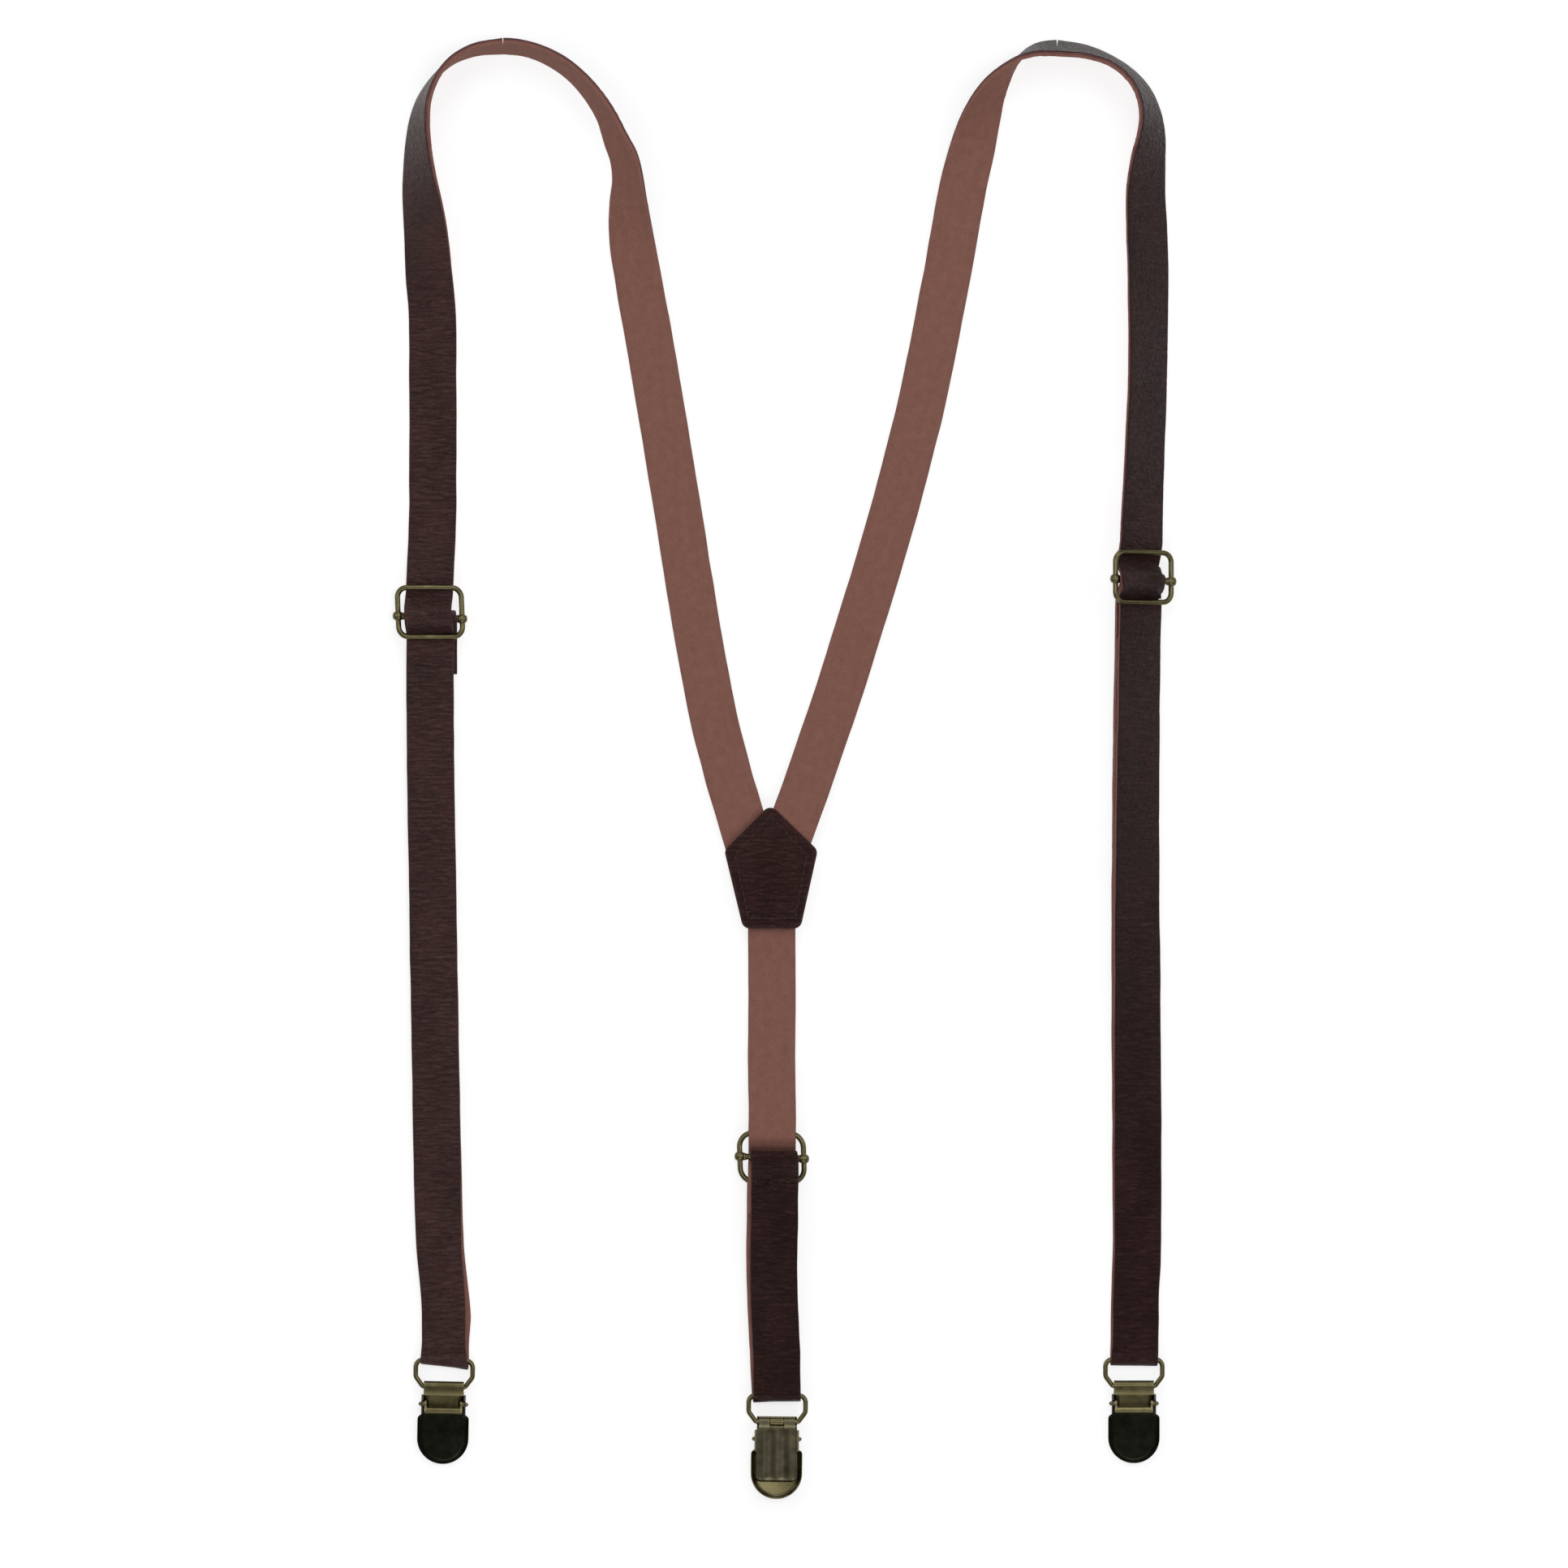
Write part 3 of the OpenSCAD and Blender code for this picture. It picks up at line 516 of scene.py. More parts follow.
def strap_mesh(name, parts, start, seed, relief, still=(), end=None, fold=None, back=False):
    """Sweeps the strap's section along parts, each the centres and grain normals of one stretch.
    start is the strap's own length where it begins, or with back where it ends. In the stretches listed in
    still the sheet stays smooth. Where it stands on its edge it is drawn thicker. end and fold, the end and
    the part that turns round its ring, narrow and skew the strap there."""
    centres = np.vstack([p[0] for p in parts])
    normals = np.vstack([p[1] for p in parts])
    calm = np.concatenate([np.full(len(p[0]), 0.2 if i in still else relief) for i, p in enumerate(parts)])
    keep = np.concatenate([[True], np.linalg.norm(np.diff(centres, axis=0), axis=1) > 0.05])
    centres, normals, calm = centres[keep], normals[keep], calm[keep]
    calm = smoothed(calm, 6)
    along = tangents(centres)
    wide = unit(np.cross(along, normals))
    facing = np.cross(wide, along)
    length = run_length(centres)
    v = start + length - (length[-1] if back else 0)
    on_edge = np.linalg.norm(facing[:, :2], axis=1) * (np.abs(along[:, 2]) < 0.3)
    thick = smoothed(1 + 0.55 * np.clip(on_edge, 0, 1) ** 1.5, 8)
    narrow, skew = np.ones(len(v)), np.zeros(len(v))
    if end:
        count = [len(p[0]) for p in parts]
        turn = length[min(len(v) - 1, sum(count[:fold]) + count[fold] // 2)]
        gap = np.abs(length - turn)
        narrow = 1 - end["narrow"] * bump(gap / 100, 0.12, 0.8)
        skew = end["skew"] * (1 - ease(gap / 9)) * end["face"]
    outline, kinds = section()
    n = len(outline)
    round_u = run_length(np.vstack([outline, outline[:1]]))
    points = np.zeros((len(v), n, 3))
    for i in range(len(v)):
        sway = 0.22 * noise.noise(Vector((0.0, v[i] / 24, seed + 11))) * min(1.0, calm[i])
        down = np.array([0, -skew[i], 0])
        for k, (a, b) in enumerate(outline):
            width = narrow[i] * (1 + 0.012 * noise.noise(Vector((math.copysign(3, a), v[i] / 9, seed + 5))))
            lift = strap_relief(a, v[i], seed) * calm[i]
            lift += -0.1 * (a / (STRAP_W / 2)) ** 4
            place = wide[i] * (a * width + sway)
            points[i, k] = centres[i] + place + facing[i] * (b * thick[i] + lift) + down * place[0]
    faces, face_kinds, uvs = [], [], []
    for i in range(len(v) - 1):
        for k in range(n):
            j = (k + 1) % n
            faces.append((i * n + k, (i + 1) * n + k, (i + 1) * n + j, i * n + j))
            face_kinds.append(kinds[k])
            u0, u1 = round_u[k] * MM, round_u[k + 1] * MM
            uvs += [(u0, v[i] * MM), (u0, v[i + 1] * MM), (u1, v[i + 1] * MM), (u1, v[i] * MM)]
    for ring, way in ((0, 1), (len(v) - 1, -1)):
        cap = [ring * n + k for k in range(n)][::way]
        faces.append(tuple(cap))
        face_kinds.append(1)
        uvs += [(outline[k % n][0] * MM, outline[k % n][1] * MM) for k in cap]
    flipped = np.dot(np.cross(wide[0], facing[0]), along[0]) < 0
    finishes = [WRINKLED if relief > WRINKLED_FROM else GRAIN, EDGE, FLESH]
    made = mesh_object(name, points.reshape(-1, 3), faces, finishes, face_kinds, uvs, sharp=50)
    if flipped:
        made.data.flip_normals()
    return made


def bridge_outline(seam_y):
    """Centre line of the strap through the slide, from the seam under the bottom wire to the head."""
    low, crest = 2 * LAYER + STRAP_T / 2, CREST_Z + STRAP_T / 2
    points = line((seam_y, low), (SEW_Y - 0.6, low)) + slope((SEW_Y - 0.6, low), (-1.2, crest), 12)
    points += line((-1.2, crest), (1.4, crest), 0.6) + slope((1.4, crest), (8, low), 14)
    return points + line((8, low), (HEAD, low)) + [(HEAD, low)]


def layer_path(end, clip_low, slide_low, clip_side, slide_side):
    """One of the two layers between ring and slide, from the ring up, as x, y, z, roll."""
    face = end["face"]
    heights = [clip_low + STRAP_T / 2, slide_low + STRAP_T / 2]
    a = at_clip(end, [0, FOLD_LEN, heights[0]])[0]
    b = at_slide(end, [0, -NECK, heights[1]])[0]
    h0 = a[2]
    h1 = SLIDE_TOP - heights[1] if face < 0 else heights[1]
    gap = b[1] - a[1]
    s = np.linspace(0, 1, round(gap / 0.9) + 1)
    roll = end["roll"] * ease(s)
    r = np.radians(roll)
    x = b[0] + (a[0] - b[0]) * (1 - s) ** 1.8
    x += clip_side * (1 - s) ** end["fade"] + slide_side * s ** end["fade"]
    x -= math.tan(math.radians(end["clip_turn"])) * gap * s * (1 - s) ** 2
    x += math.tan(math.radians(end["turn"])) * gap * s * s * (1 - s)
    x += end["sway"] * bump(s, 0.12, 0.8)
    z = STRAP_W / 2 * np.sin(r) + (h0 + (h1 - h0) * ease(s)) * np.cos(r)
    return np.column_stack([x, a[1] + gap * s, z, roll])


def front_strap(name, end, control, side, seed):
    """The strap from the seam under the slide's bottom wire up to the top of the shoulder loop."""
    seam_y = end["shift"] - SLIDE_H / 2 + SEAM_UP
    bow = [end["side"][0] * share for share in (0, 0.25, 0.7, 1, 1, 0.7, 0.25, 0)]
    bridge = profile(at_slide, end, bridge_outline(seam_y), sides=bow)
    head = at_slide(end, [0, HEAD, 2 * LAYER + STRAP_T / 2])[0]
    upper = rolled(smooth_path([(*head, end["roll"])] + control), side)
    if end["face"] < 0:
        upper = (upper[0], -upper[1])
    parts = [bridge, (upper[0][1:], upper[1][1:])]
    return strap_mesh(name, parts, SHOULDER, seed, end["relief"], still=(0,), back=True)


def loop_strap(name, end, seed):
    """The strap from the seam down to the ring, round it, back up and round the slide's bar to its sewn end."""
    face = end["face"]
    seam_y = end["shift"] - SLIDE_H / 2 + SEAM_UP
    neck_x, outer_x, inner_x, bar_x, tail_x = end["side"][1:]
    top = 2 * LAYER + STRAP_T / 2
    neck = profile(at_slide, end, line((seam_y, top), (-NECK, top)) + [(-NECK, top)], -1, (neck_x, neck_x))
    outer = rolled(layer_path(end, LAYER, 2 * LAYER, outer_x, neck_x), -1)
    outer = (outer[0][::-1][1:], outer[1][::-1][1:] * face)
    centre_r = FOLD_R - STRAP_T / 2
    upper = LAYER + STRAP_T / 2
    rise = (3.0, upper + 0.8)
    fold = slope((FOLD_LEN - 0.9, upper), rise, 10) + slope(rise, (0, FOLD_R + centre_r), 5)
    fold += arc((0, FOLD_R), centre_r, 90, 270) + line((0, STRAP_T / 2), (FOLD_LEN, STRAP_T / 2))
    fold = profile(at_clip, end, fold, -1, (outer_x, 0.5 * outer_x, 0, 0.5 * inner_x, inner_x))
    inner = rolled(layer_path(end, 0, 0, inner_x, bar_x), -1)
    inner = (inner[0][:-1], -inner[1][:-1] * face)
    bar_r = LOOP_R - STRAP_T / 2
    low, tail_z = STRAP_T / 2, LAYER + STRAP_T / 2
    loop = line((-NECK, low), (SEW_Y - 1, low), 0.5)
    if face < 0:
        ridge = lambda y: 0.55 * math.exp(-(((y + 9.4) / 0.7) ** 2))
        crease = lambda y: 0.2 * math.exp(-(((y + 11.6) / 1.1) ** 2))
        loop = [(y, z + ridge(y) - crease(y)) for y, z in loop]
    loop += slope((SEW_Y - 1, low), (0, SLIDE_Z - bar_r), 10)
    loop += arc((0, SLIDE_Z), bar_r, -90, 90) + slope((0, SLIDE_Z + bar_r), (SEW_Y - 1, tail_z), 10)
    loop += line((SEW_Y - 1, tail_z), (-TAIL, tail_z)) + [(-TAIL, tail_z)]
    loop = profile(at_slide, end, loop, -1, (bar_x, bar_x, bar_x, tail_x, tail_x))
    parts = [neck, outer, fold, inner, loop]
    return strap_mesh(name, parts, seam_y, seed, end["relief"], still=(2, 4), end=end, fold=2)


# ---- hardware ----

def rounded(corners, bends, steps=8):
    """A closed outline of corners, counter-clockwise, each rounded with its bend radius."""
    made, n = [], len(corners)
    for i in range(n):
        p = np.array(corners[i], float)
        a, b = unit(p - np.array(corners[i - 1])), unit(np.array(corners[(i + 1) % n]) - p)
        turn = math.atan2(a[0] * b[1] - a[1] * b[0], a @ b)
        trim = bends[i] * math.tan(turn / 2)
        middle = p - a * trim + bends[i] * np.array([-a[1], a[0]])
        start = math.atan2(-a[0], a[1])
        for k in range(steps + 1):
            t = start + turn * k / steps
            made.append(tuple(middle + bends[i] * np.array([math.cos(t), math.sin(t)])))
    return made


def filled(outline, step=1.0):
    """The closed outline with points added along its long straight stretches."""
    made = []
    for i, a in enumerate(outline):
        b = outline[(i + 1) % len(outline)]
        count = max(1, math.ceil(math.dist(a, b) / step))
        made += [tuple(np.array(a) + (np.array(b) - np.array(a)) * k / count) for k in range(count)]
    return made


def tube(points, r, closed=True, sides=18, up=(0, 0, 1)):
    """Points and faces of a round wire along points. r is a number or one for each point."""
    p = np.asarray(points, float)
    n = len(p)
    along = unit(np.roll(p, -1, 0) - np.roll(p, 1, 0)) if closed else tangents(p)
    side = unit(np.cross(along, up))
    top = np.cross(side, along)
    radii = np.broadcast_to(r, n)
    turns = np.linspace(0, 2 * math.pi, sides, endpoint=False)
    rings = p[:, None] + radii[:, None, None] * (
        np.cos(turns)[None, :, None] * side[:, None] + np.sin(turns)[None, :, None] * top[:, None]
    )
    faces = []
    for i in range(n if closed else n - 1):
        for k in range(sides):
            j, m = (i + 1) % n, (k + 1) % sides
            faces.append((i * sides + k, i * sides + m, j * sides + m, j * sides + k))
    if not closed:
        faces.append(tuple(range(sides))[::-1])
        faces.append(tuple((n - 1) * sides + k for k in range(sides)))
    return rings.reshape(-1, 3), faces


def joined(parts):
    """Several lots of points and faces as one."""
    points, faces, shift = [], [], 0
    for p, f in parts:
        points.append(np.asarray(p, float))
        faces += [tuple(i + shift for i in face) for face in f]
        shift += len(p)
    return np.vstack(points), faces


def sheet(top, bottom):
    """A closed solid between two grids of points, rows by columns."""
    top, bottom = np.asarray(top, float), np.asarray(bottom, float)
    rows, cols = top.shape[:2]
    shift = rows * cols
    at = lambda i, j: i * cols + j
    faces = []
    for i in range(rows - 1):
        for j in range(cols - 1):
            quad = (at(i, j), at(i, j + 1), at(i + 1, j + 1), at(i + 1, j))
            faces.append(quad)
            faces.append(tuple(k + shift for k in quad[::-1]))
    rim = [at(0, j) for j in range(cols)] + [at(i, cols - 1) for i in range(1, rows)]
    rim += [at(rows - 1, j) for j in range(cols - 2, -1, -1)] + [at(i, 0) for i in range(rows - 2, 0, -1)]
    for k, a in enumerate(rim):
        b = rim[(k + 1) % len(rim)]
        faces.append((b, a, a + shift, b + shift))
    return np.vstack([top.reshape(-1, 3), bottom.reshape(-1, 3)]), faces


def extruded(outline, x0, x1):
    """An outline of y and z, counter-clockwise seen from +x, extruded from x0 to x1."""
    n = len(outline)
    points = [(x, y, z) for x in (x0, x1) for y, z in outline]
    faces = [tuple(range(n))[::-1], tuple(range(n, 2 * n))]
    faces += [(k, (k + 1) % n, n + (k + 1) % n, n + k) for k in range(n)]
    return np.array(points, float), faces


def strip(outline, thickness, x0, x1, edge=0.0, across=9):
    """A bent sheet metal strip: its outer line as y and z, its thickness to the right of it, from x0 to x1."""
    line_ = np.asarray(outline, float)
    along = unit(np.gradient(line_, axis=0))
    inward = np.column_stack([along[:, 1], -along[:, 0]])
    xs = np.linspace(x0, x1, across)
    grid = lambda depth: np.array([[(x, *(p + q * depth)) for x in xs] for p, q in zip(line_, inward)])
    return sheet(grid(edge), grid(thickness))


def outward(made):
    """Makes all the face normals point out."""
    work = bmesh.new()
    work.from_mesh(made.data)
    bmesh.ops.recalc_face_normals(work, faces=work.faces)
    work.to_mesh(made.data)
    work.free()
    return made


def hardware(name, parts, place, end, body, node, materials, bevel=0.0):
    """A metal piece in an end's own frame that rides on a body and stands for a node."""
    points, faces = joined(parts)
    made = outward(mesh_object(name, place(end, points), faces, materials, sharp=40))
    if bevel:
        soft = made.modifiers.new("soft_edges", "BEVEL")
        soft.width, soft.segments, soft.limit_method = bevel * MM, 2, "ANGLE"
        soft.angle_limit = math.radians(35)
    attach(made, body)
    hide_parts(node)
    return made


def slide_frame(name, end):
    half_w, half_h = SLIDE_W / 2, SLIDE_H / 2
    corners = [(half_w, half_h), (-half_w, half_h), (-half_w, -half_h), (half_w, -half_h)]
    outline = np.array(filled(rounded(corners, [end["bend"]] * 4, 10)))
    bow = 1 - (outline[:, 0] / half_w) ** 2
    points = np.column_stack([
        outline[:, 0] - end["lean"] * outline[:, 1],
        outline[:, 1] + end["shift"] + 0.12 * bow * np.sign(outline[:, 1]),
        np.full(len(outline), SLIDE_Z),
    ])
    hardware(
        f"{name}_slide_wire", [tube(points, WIRE_R, sides=20)], at_slide, end, f"{name}_frame",
        f"{name}_slider_frame", [BRASS],
    )


def revolved(outline, middle, axis, sides=24):
    """A closed outline of radius and height turned round an axis through middle (x, y or z)."""
    n = len(outline)
    points, faces = [], []
    for s in range(sides):
        t = 2 * math.pi * s / sides
        for r, h in outline:
            c = [r * math.cos(t), r * math.sin(t)]
            c.insert("xyz".index(axis), h)
            points.append(np.array(middle, float) + c)
        for k in range(n):
            j, m = (s + 1) % sides, (k + 1) % n
            faces.append((s * n + k, s * n + m, j * n + m, j * n + k))
    return np.array(points), faces


def slide_bar(name, end):
    """The bar, thicker towards its ends, with a rolled eye round each side wire."""
    half = SLIDE_W / 2
    eye = [(WIRE_R + 0.05, h) for h in (-1.5, -0.5, 0.5, 1.5)]
    eye += [(EYE_R * math.cos(a) ** 0.6, 1.75 * math.sin(a)) for a in np.linspace(1.25, -1.25, 13)]
    xs = np.linspace(-half + 0.9, half - 0.9, 41)
    swell = np.clip((np.abs(xs) - 8.4) / 2.0, 0, 1)
    points = np.column_stack([xs, 0 * xs, 0 * xs])
    parts = [tube(points, WIRE_R + 0.42 * ease(swell), closed=False)]
    parts += [revolved(eye, (s * half, 0, 0), "y") for s in (-1, 1)]
    made, faces = joined(parts)
    made = turned(made, z=end["tilt"]) + [0, 0, SLIDE_Z]
    hardware(
        f"{name}_slide_crossbar", [(made, faces)], at_slide, end, f"{name}_slider",
        f"{name}_slider_bar", [BRASS],
    )


def ring(name, end):
    knee_y = (RING_HALF - RING_FOOT) * 4 / 3 - RING_PITCH
    corners = [
        (RING_HALF, 0), (-RING_HALF, 0), (-RING_HALF, knee_y),
        (-RING_FOOT, -RING_PITCH), (RING_FOOT, -RING_PITCH), (RING_HALF, knee_y),
    ]
    outline = filled(rounded(corners, [2.6, 2.6, 2.4, 1.2, 1.2, 2.4], 8), 0.8)
    points = [(x, y, FOLD_R) for x, y in outline]
    hardware(
        f"{name}_ring_wire", [tube(points, RING_R)], at_clip, end, f"{name}_ring",
        f"{name}_ring", [BRASS],
    )


def lowered(points):
    """From the lower bar's frame to the clip's own frame."""
    return np.asarray(points, float) + [0, -RING_PITCH, 0]


def curl(r_out, start, stop, count=18):
    return [tuple(p) for p in arc((0, FOLD_R), r_out, start, stop, count)] + [
        (r_out * math.cos(math.radians(stop)), FOLD_R + r_out * math.sin(math.radians(stop)))
    ]


def clip_back(name, end):
    """Back plate with soft lengthwise ridges, two knuckles and two ears."""
    xs = np.linspace(-1, 1, 45)
    rows = np.concatenate([np.linspace(-BASE_LEN, -BASE_LEN + 1.6, 7)[:-1], np.linspace(-BASE_LEN + 1.6, -2.0, 16)])
    top, bottom = [], []
    for y in rows:
        cut = max(0.0, 1.5 - (y + BASE_LEN))
        half = BASE_HALF - (1.5 - math.sqrt(max(0.0, 1.5 ** 2 - cut ** 2)) if cut else 0)
        line_ = []
        for u in xs:
            x = u * half
            ridge = 0.2 * (0.5 - 0.5 * math.cos(2 * math.pi * x / 4.9)) * ease(min(1, (BASE_HALF - abs(x)) / 2.0))
            ridge *= ease(min(1.0, (-2.0 - y) / 2.5)) * ease(min(1.0, (y + BASE_LEN) / 1.5 + 0.2))
            rim = 0.35 * ease(max(0.0, 1 - (BASE_HALF - abs(x)) / 1.0))
            line_.append((x, y, ridge + rim))
        top.append([(x, y, z + SHEET_T - 0.1) for x, y, z in line_])
        bottom.append(line_)
    parts = [sheet(top, bottom)]
    r = RING_R + 0.05 + SHEET_T
    hook = [(-2.4, 0.0), (-1.2, 0.02)] + curl(r, -80, 235)
    for s in (-1, 1):
        a, b = sorted((s * 2.7, s * 6.6))
        parts.append(strip(hook, -SHEET_T, a, b))
    ear = [(-11, 0.2), (-3, 0.2), (-3, 2.2), (PIVOT[0] + 1.5, 5.4)]
    ear += arc(PIVOT, 1.5, 20, 160, 9) + [(PIVOT[0] - 1.5, 5.4), (-11, 2)]
    for s in (-1, 1):
        a, b = sorted((s * BASE_HALF, s * (BASE_HALF + 0.75)))
        parts.append(extruded(ear, a, b))
    points, faces = joined(parts)
    # Painted shade: where the base lies under the jaw (the front clips) it gets the darker copy of the brass; the
    # back clip's base, on top, gets the olive brass.
    hardware(
        f"{name}_clip_back", [(lowered(points), faces)], at_clip, end, f"{name}_clip",
        f"{name}_clip_base", [OLIVE if end["face"] < 0 else PAINTED_SHADE_BRASS], 0.12,
    )


def clip_jaw(name, end):
    """Jaw plate, a little crowned, with its knuckle tongue, a hood over the knuckles and a turned-down lip."""
    xs = np.linspace(-JAW_HALF, JAW_HALF, 27)
    spine = [(-1.9, 3.75), (-2.3, 3.92), (-4, 3.75), (-6, 3.45), (-9, 3.2), (-12, 3.1), (-16, 3.0)]
    spine += [(-20, 2.95), (-20.9, 2.7), (-21.2, 2.2), (-21.2, 1.7)]
    spine = smooth_path([(y, z, 0) for y, z in spine], 0.5)[:, :2]
    along = unit(np.gradient(spine, axis=0))
    down = np.column_stack([-along[:, 1], along[:, 0]])
    fall = lambda x: 0.45 * ease(max(0.0, (abs(x) - JAW_HALF + 1.3) / 1.3))
    row = lambda p, q, depth: [(x, p[0] + q[0] * depth, p[1] + q[1] * depth - fall(x)) for x in xs]
    grid = lambda depth: [row(p, q, depth) for p, q in zip(spine, down)]
    parts = [sheet(grid(0), grid(SHEET_T))]
    tongue = [(-2.6, 4.05), (-1.3, 4.2)] + curl(RING_R + 0.05 + SHEET_T, 88, -130)
    parts.append(strip(tongue, SHEET_T, -2.4, 2.4))
    hood = [(-3.3, 3.98), (-2.2, 4.3), (-1.2, 4.48)] + curl(RING_R + 0.58 + SHEET_T, 88, 25)
    parts.append(strip(hood, 0.42, -7.4, 7.4, across=17))
    points, faces = joined(parts)
    hardware(
        f"{name}_jaw_plate", [(lowered(points), faces)], at_clip, end, f"{name}_jaw",
        f"{name}_clip_jaw", [BRASS], 0.1,
    )


def flap_grid(depth):
    """Rows of the lever's flap: a rounded tongue whose rim turns down like a shallow spoon."""
    round_y = FLAP_HALF - FLAP_LEN - ROLL_AT[0]
    rows = [(-0.4, ARM), (-0.9, ARM + 0.5), (-1.4, ARM + 1.1), (-1.9, ARM + 1.75)]
    rows += [(-2.3, FLAP_HALF - 0.35), (-2.9, FLAP_HALF - 0.05)]
    rows += [(y, FLAP_HALF) for y in np.linspace(-3.8, round_y, 7)]
    rows += [(round_y - FLAP_HALF * math.sin(t), FLAP_HALF * math.cos(t)) for t in np.linspace(0.1, 1.5, 22)]
    made = []
    for y, half in rows:
        line_ = []
        for u in np.sin(np.linspace(-math.pi / 2, math.pi / 2, 33)):
            x = u * half
            gap = FLAP_HALF - math.hypot(x, y - round_y) if y < round_y else half - abs(x)
            rim = ease(min(1.0, max(0.0, 1 - gap / 1.7))) if y < -2.0 else 0.0
            dish = 0.35 * (1 - (x / FLAP_HALF) ** 2) * ease(min(1.0, max(0.0, (-y - 2) / 8)))
            line_.append((x, y, 0.35 + dish - 0.75 * rim - depth))
        made.append(line_)
    return made


def clip_lever(name, end):
    """Lever: a rolled cam edge, trunnions on two arms, and the rounded thumb flap."""
    xs = np.linspace(-ARM, ARM, 33)
    swell = np.sqrt(np.clip((ARM - np.abs(xs)) / 0.5, 0, 1)) * 0.25 + 0.75
    roll_points = np.column_stack([xs, np.full(33, ROLL_AT[0]), np.full(33, ROLL_AT[1])])
    shell = [tube(roll_points, ROLL_R * swell, closed=False, sides=28)]
    for s in (-1, 1):
        tip = np.linspace(0, 2.2, 9)
        axle = np.column_stack([s * (ARM + tip), np.full(9, PIVOT[0]), np.full(9, PIVOT[1])])
        shell.append(tube(axle[::s], (PIVOT_R * np.sqrt(np.clip((2.25 - tip) / 0.6, 0.1, 1)))[::s], closed=False))
        way = unit(np.array(ROLL_AT) - np.array(PIVOT))
        lean = math.degrees(math.atan2(way[1], way[0]))
        arm = arc(PIVOT, 1.3, lean + 90, lean + 270, 10) + arc(ROLL_AT, 1.3, lean - 90, lean + 90, 10)
        a, b = sorted((s * (ARM - SHEET_T), s * ARM))
        shell.append(extruded(arm[::-1], a, b))
    points, faces = sheet(flap_grid(0), flap_grid(SHEET_T))
    flap = turned(points, x=FLAP_SLOPE) + [0, *ROLL_AT]
    base, shell_faces = joined(shell)
    points, all_faces = joined([(base, shell_faces), (flap, faces)])
    made = hardware(
        f"{name}_lever_flap", [(lowered(points), all_faces)], at_clip, end, f"{name}_lever",
        f"{name}_clip_lever", [PAINTED_REFLECTION_BRASS, BRASS], 0.12,
    )
    # Painted reflection: faces that point to the clip's front get the near-black copy, standing for the dark room
    # mirrored in the flap; the roll, trunnions, arms and the faces pointing back keep the brass.
    facing = at_clip(end, [0, 0, 1], direction=True)[0]
    for i, polygon in enumerate(made.data.polygons):
        rolled_edge = i < len(shell_faces)
        polygon.material_index = 1 if rolled_edge or np.dot(polygon.normal, facing) < -0.2 else 0


# ---- patch ----

def patch(name, bottom_z, way, node, seed):
    """Domed leather pentagon. way is 1 where it faces up."""
    middle = PATCH_MIDDLE
    corners = [np.array(p) for p in PATCH]
    outline = np.array(filled(rounded([tuple(p) for p in corners[::-1]], [3.2] * 5, 6), 1.2))
    spread = np.linalg.norm(outline - middle, axis=1)
    insets = [0, 0.12, 0.35, 0.7, 1.2, 1.8, 2.4, 2.8, 3.2, 3.8, 4.6, 5.8, 7.2, 8.8, 10.6, 12.6, 14.8]
    rings = []

    def height(p, inset):
        rise = 1 - math.exp(-((inset / 0.55) ** 2))
        groove = 0.22 * math.exp(-(((inset - 2.8) / 0.5) ** 2))
        puff = 0.45 * ease(min(1.0, max(0.0, (inset - 2.8) / 6)))
        ripple = 0.1 * noise.noise(Vector((p[0] / 4.5, p[1] / 4.5, seed)))
        ripple += 0.05 * noise.noise(Vector((p[0] / 1.5, p[1] / 1.5, seed)))
        return PATCH_T - 0.5 * (1 - rise) - groove + puff + ripple * min(1, inset)

    for inset in insets:
        p = middle + (outline - middle) * (1 - inset / spread)[:, None]
        rings.append([(x, y, height((x, y), inset)) for x, y in p])
    under = [(x, y, 0.0) for x, y in middle + (outline - middle) * (1 - 0.1 / spread)[:, None]]
    n = len(outline)
    rings = [under] + rings
    points = [p for r in rings for p in r] + [(middle[0], middle[1], height(middle, 16)), (middle[0], middle[1], 0)]
    faces, uvs = [], []
    for i in range(len(rings) - 1):
        for k in range(n):
            faces.append((i * n + k, i * n + (k + 1) % n, (i + 1) * n + (k + 1) % n, (i + 1) * n + k))
    last = (len(rings) - 1) * n
    faces += [(last + k, last + (k + 1) % n, len(points) - 2) for k in range(n)]
    faces += [((k + 1) % n, k, len(points) - 1) for k in range(n)]
    points = np.array(points)
    points[:, 2] = bottom_z + way * points[:, 2]
    for face in faces:
        uvs += [(points[i][0] * MM, points[i][1] * MM) for i in face]
    kinds = [1 if k < 2 * n else 0 for k in range(len(faces))]
    made = outward(mesh_object(name, points, faces, [PATCH_GRAIN, EDGE], kinds, uvs, sharp=60))
    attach(made, "harness")
    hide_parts(node)
    return made


def stitch(a, b, r, z):
    """One thread stitch from a to b, a flat bean that dips at its ends."""
    a, b = np.array(a, float), np.array(b, float)
    ts = np.linspace(0, 1, 9)
    points = np.array([[*(a + (b - a) * t), z + 0.22 * math.sin(math.pi * t) - 0.1] for t in ts])
    radii = r * (0.55 + 0.45 * np.sin(math.pi * ts))
    return tube(points, radii, closed=False, sides=10)


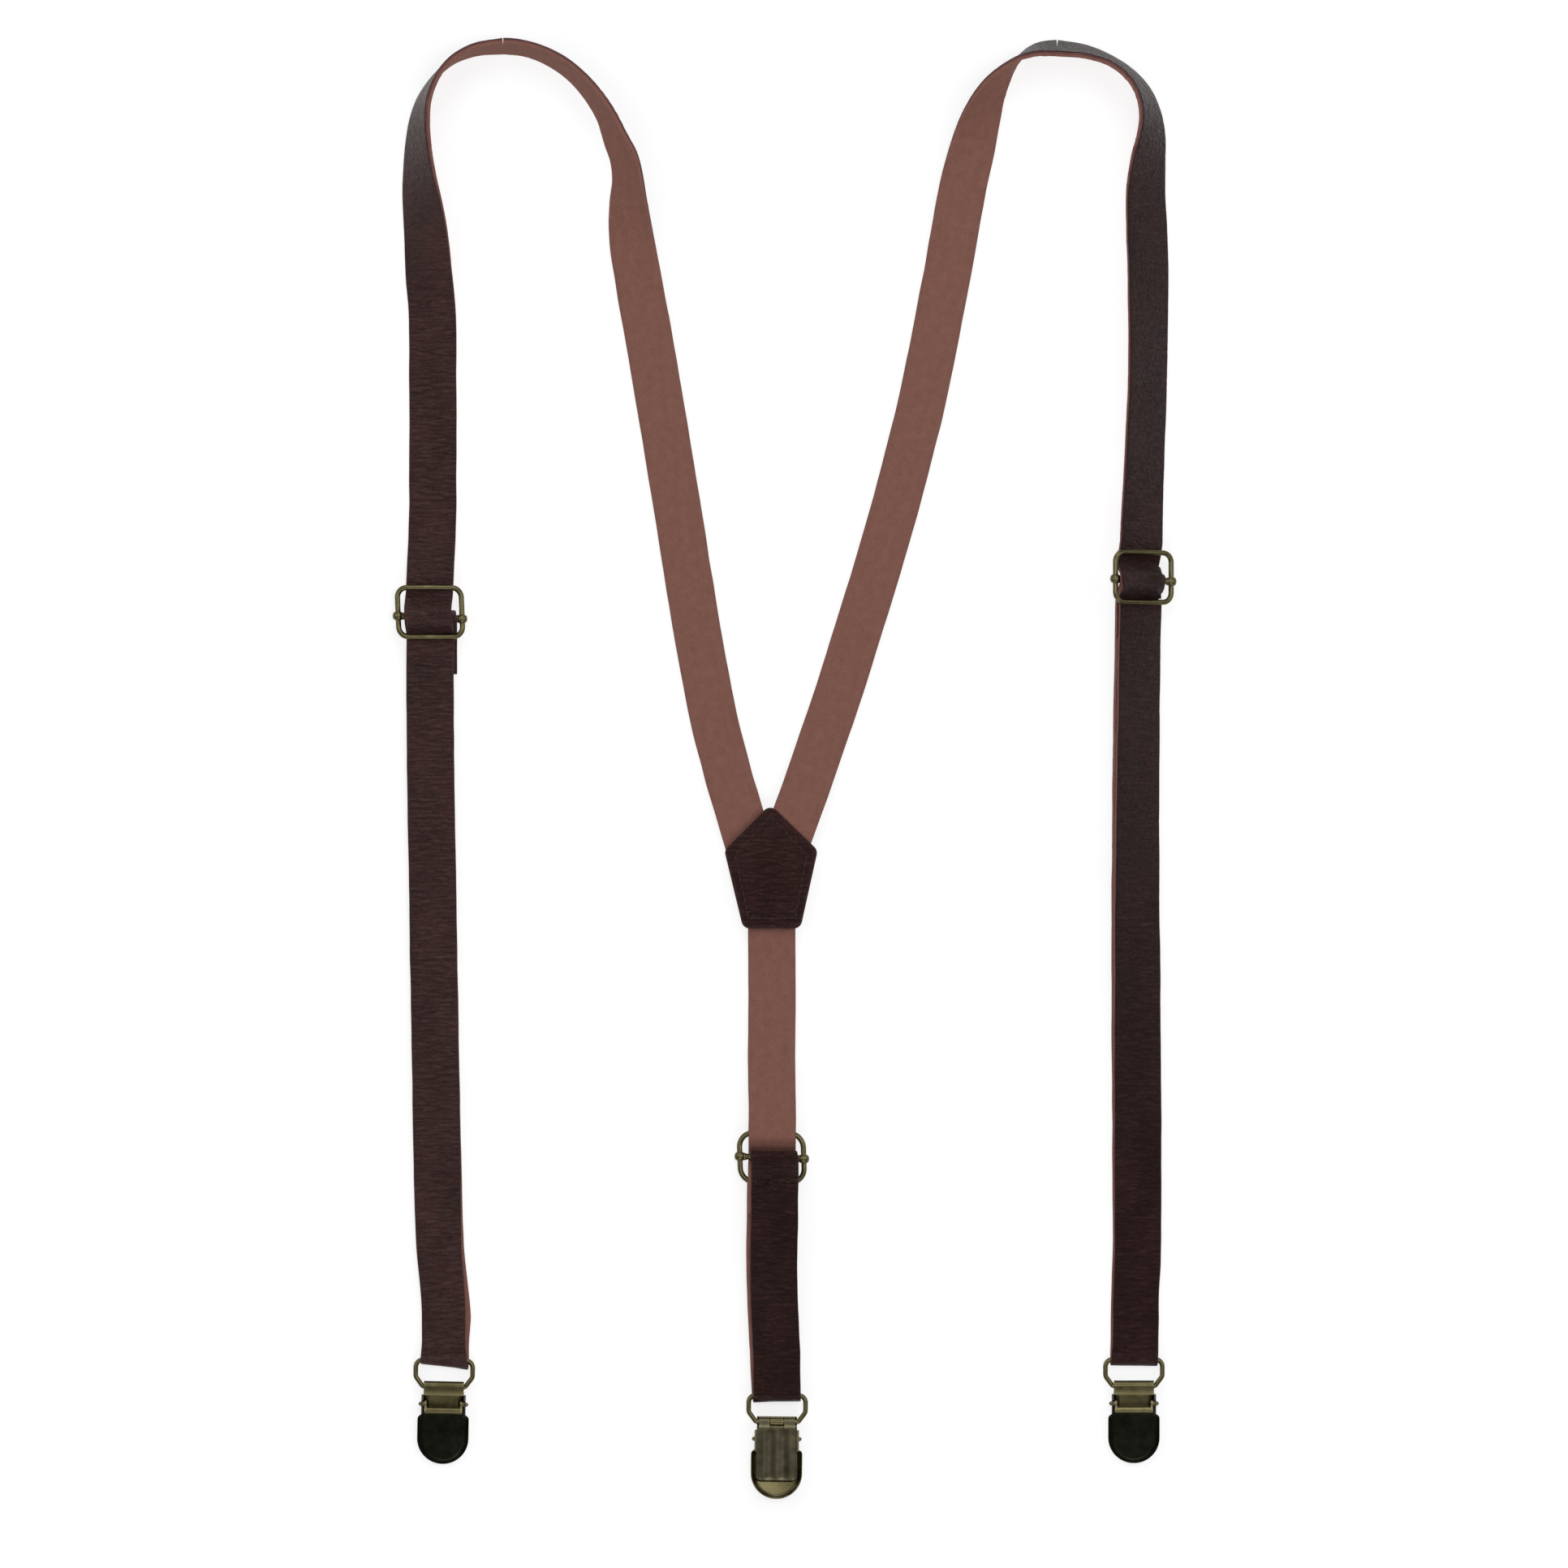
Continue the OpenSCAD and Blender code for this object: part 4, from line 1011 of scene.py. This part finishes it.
def stitching():
    inset = [np.array(p) + 4.4 * unit(PATCH_MIDDLE - np.array(p)) for p in PATCH]
    parts = []
    for z in (PATCH_T + 2 * LAYER + 0.1 + PATCH_T - 0.1, 0.0):
        for i, a in enumerate(inset):
            b = inset[(i + 1) % 5]
            count = round(float(np.linalg.norm(b - a)) / 2.6)
            for k in range(count):
                parts.append(stitch(a + (b - a) * (k + 0.14) / count, a + (b - a) * (k + 0.86) / count, 0.34, z))
    points, faces = joined(parts)
    low_row = len(points) // 2
    points[low_row:, 2] = 0.15 - points[low_row:, 2]
    made = outward(mesh_object("patch_stitches", points, faces, [THREAD]))
    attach(made, "harness")
    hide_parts("patch_stitching")


# ---- building ----

def build_straps():
    left, right = LEFT_FRONT + LEFT_ROUTE[: LEFT_TOP + 1], RIGHT_FRONT + RIGHT_ROUTE[: RIGHT_TOP + 1]
    # Each front strap with two places on its route; they are turned into metres below but nothing uses them.
    fronts = (
        ("left", left, 1, "left_front_strap", (-130.6, 172), (-131, 72)),
        ("right", right, -1, "right_front_strap", (134.2, 184), (131.5, 86)),
        ("back", BACK_ROUTE, 1, "back_strap", (-4.8, -62), (-4.8, -128)),
    )
    for k, (name, route, side, node, start, stop) in enumerate(fronts):
        made = front_strap(f"{name}_front_leather", ENDS[name], laid(route), side, 1.0 + k)
        start, stop = ([v * MM for v in (*point, 0)] for point in (start, stop))
        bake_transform(made)
        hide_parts(node, f"{name}_strap_bridge")
    shoulders = (("left", LEFT_ROUTE, LEFT_TOP, 1, 1.0), ("right", RIGHT_ROUTE, RIGHT_TOP, -1, 2.0))
    for name, route, top, side, seed in shoulders:
        path = smooth_path(laid(route))
        cut = np.argmin(np.linalg.norm(path[:, :2] - np.array(route[top][:2]), axis=1))
        centres, normals = rolled(path, side)
        part = (centres[cut:], normals[cut:])
        made = strap_mesh(f"{name}_shoulder_leather", [part], SHOULDER, seed, ENDS[name]["relief"])
        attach(made, "harness")
        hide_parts(f"{name}_shoulder_strap")
    for k, (name, end) in enumerate(ENDS.items()):
        made = loop_strap(f"{name}_loop_leather", end, 1.0 + k)
        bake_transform(made)
        stretches = ("outer_layer", "strap_fold", "inner_layer", "sewn_loop")
        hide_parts(*[f"{name}_{part}" for part in stretches])


def build_hardware():
    for name, end in ENDS.items():
        slide_frame(name, end)
        slide_bar(name, end)
        ring(name, end)
        clip_back(name, end)
        clip_jaw(name, end)
        clip_lever(name, end)
        for node, finish in ((f"{name}_grip_pad", NYLON), (f"{name}_loop_stitching", THREAD)):
            mesh = frame["nodes"][node].data
            mesh.materials.clear()
            mesh.materials.append(finish)


def build_patch():
    patch("patch_front_leather", PATCH_T + 2 * LAYER + 0.1, 1, "patch_front", 4.0)
    patch("patch_back_leather", PATCH_T, -1, "patch_back", 5.0)
    stitching()


def area_light(name, place, size, watts, aim=(0, 0, 0)):
    light = bpy.data.lights.new(name, "AREA")
    light.shape, light.size, light.energy = "SQUARE", size, watts
    made = bpy.data.objects.new(name, light)
    bpy.context.scene.collection.objects.link(made)
    made.location = place
    made.rotation_euler = (Vector(aim) - Vector(place)).to_track_quat("-Z", "Y").to_euler()


def build_studio():
    """Pale floor, soft light from all sides, a small sheen light above, and the camera straight above."""
    reach, floor_z = 4000, -0.4
    corners = [(x * reach, y * reach, floor_z) for x, y in ((-1, -1), (1, -1), (1, 1), (-1, 1))]
    floor = mesh_object("floor", corners, [(0, 1, 2, 3)], [])
    made, shader, add, links = material("floor_white")
    soft = noise_node(add, object_vector(add), 30, 2)
    tone = ramp(add, soft, [(0.3, (0.34, 0.34, 0.34)), (0.7, (0.36, 0.36, 0.36))])
    links.new(tone, shader.inputs["Base Color"])
    shader.inputs["Roughness"].default_value = 0.9
    shader.inputs["Specular IOR Level"].default_value = 0.1
    shader.inputs["Emission Color"].default_value = (1, 1, 1, 1)
    shader.inputs["Emission Strength"].default_value = 0.75
    floor.data.materials.append(made)
    around = (("left", -1.1, 0.3, 5), ("right", 1.1, 0.3, 5), ("low", 0.1, -1.2, 5), ("high", 0, 1.2, 6))
    for name, x, y, watts in around:
        area_light(name, (x, y, 1.1), 0.9, watts)
    area_light("sheen", (0.16, 0.1, 1.5), 0.22, 3.2, (0.1, 0.05, 0))
    world = bpy.data.worlds.new("studio")
    world.use_nodes = True
    world.node_tree.nodes["Background"].inputs["Color"].default_value = (1, 1, 1, 1)
    world.node_tree.nodes["Background"].inputs["Strength"].default_value = 0.2
    bpy.context.scene.world = world
    bpy.context.scene.view_settings.view_transform = "Standard"
    camera = bpy.data.cameras.new("camera")
    distance, view_width = 12.0, 0.5796
    camera.sensor_width = 36
    camera.lens = camera.sensor_width * distance / view_width
    camera.clip_end = 40
    made = bpy.data.objects.new("camera", camera)
    bpy.context.scene.collection.objects.link(made)
    made.location = (-0.0003, -0.00615, distance)
    bpy.context.scene.camera = made


build_studio()
build_straps()
build_hardware()
build_patch()
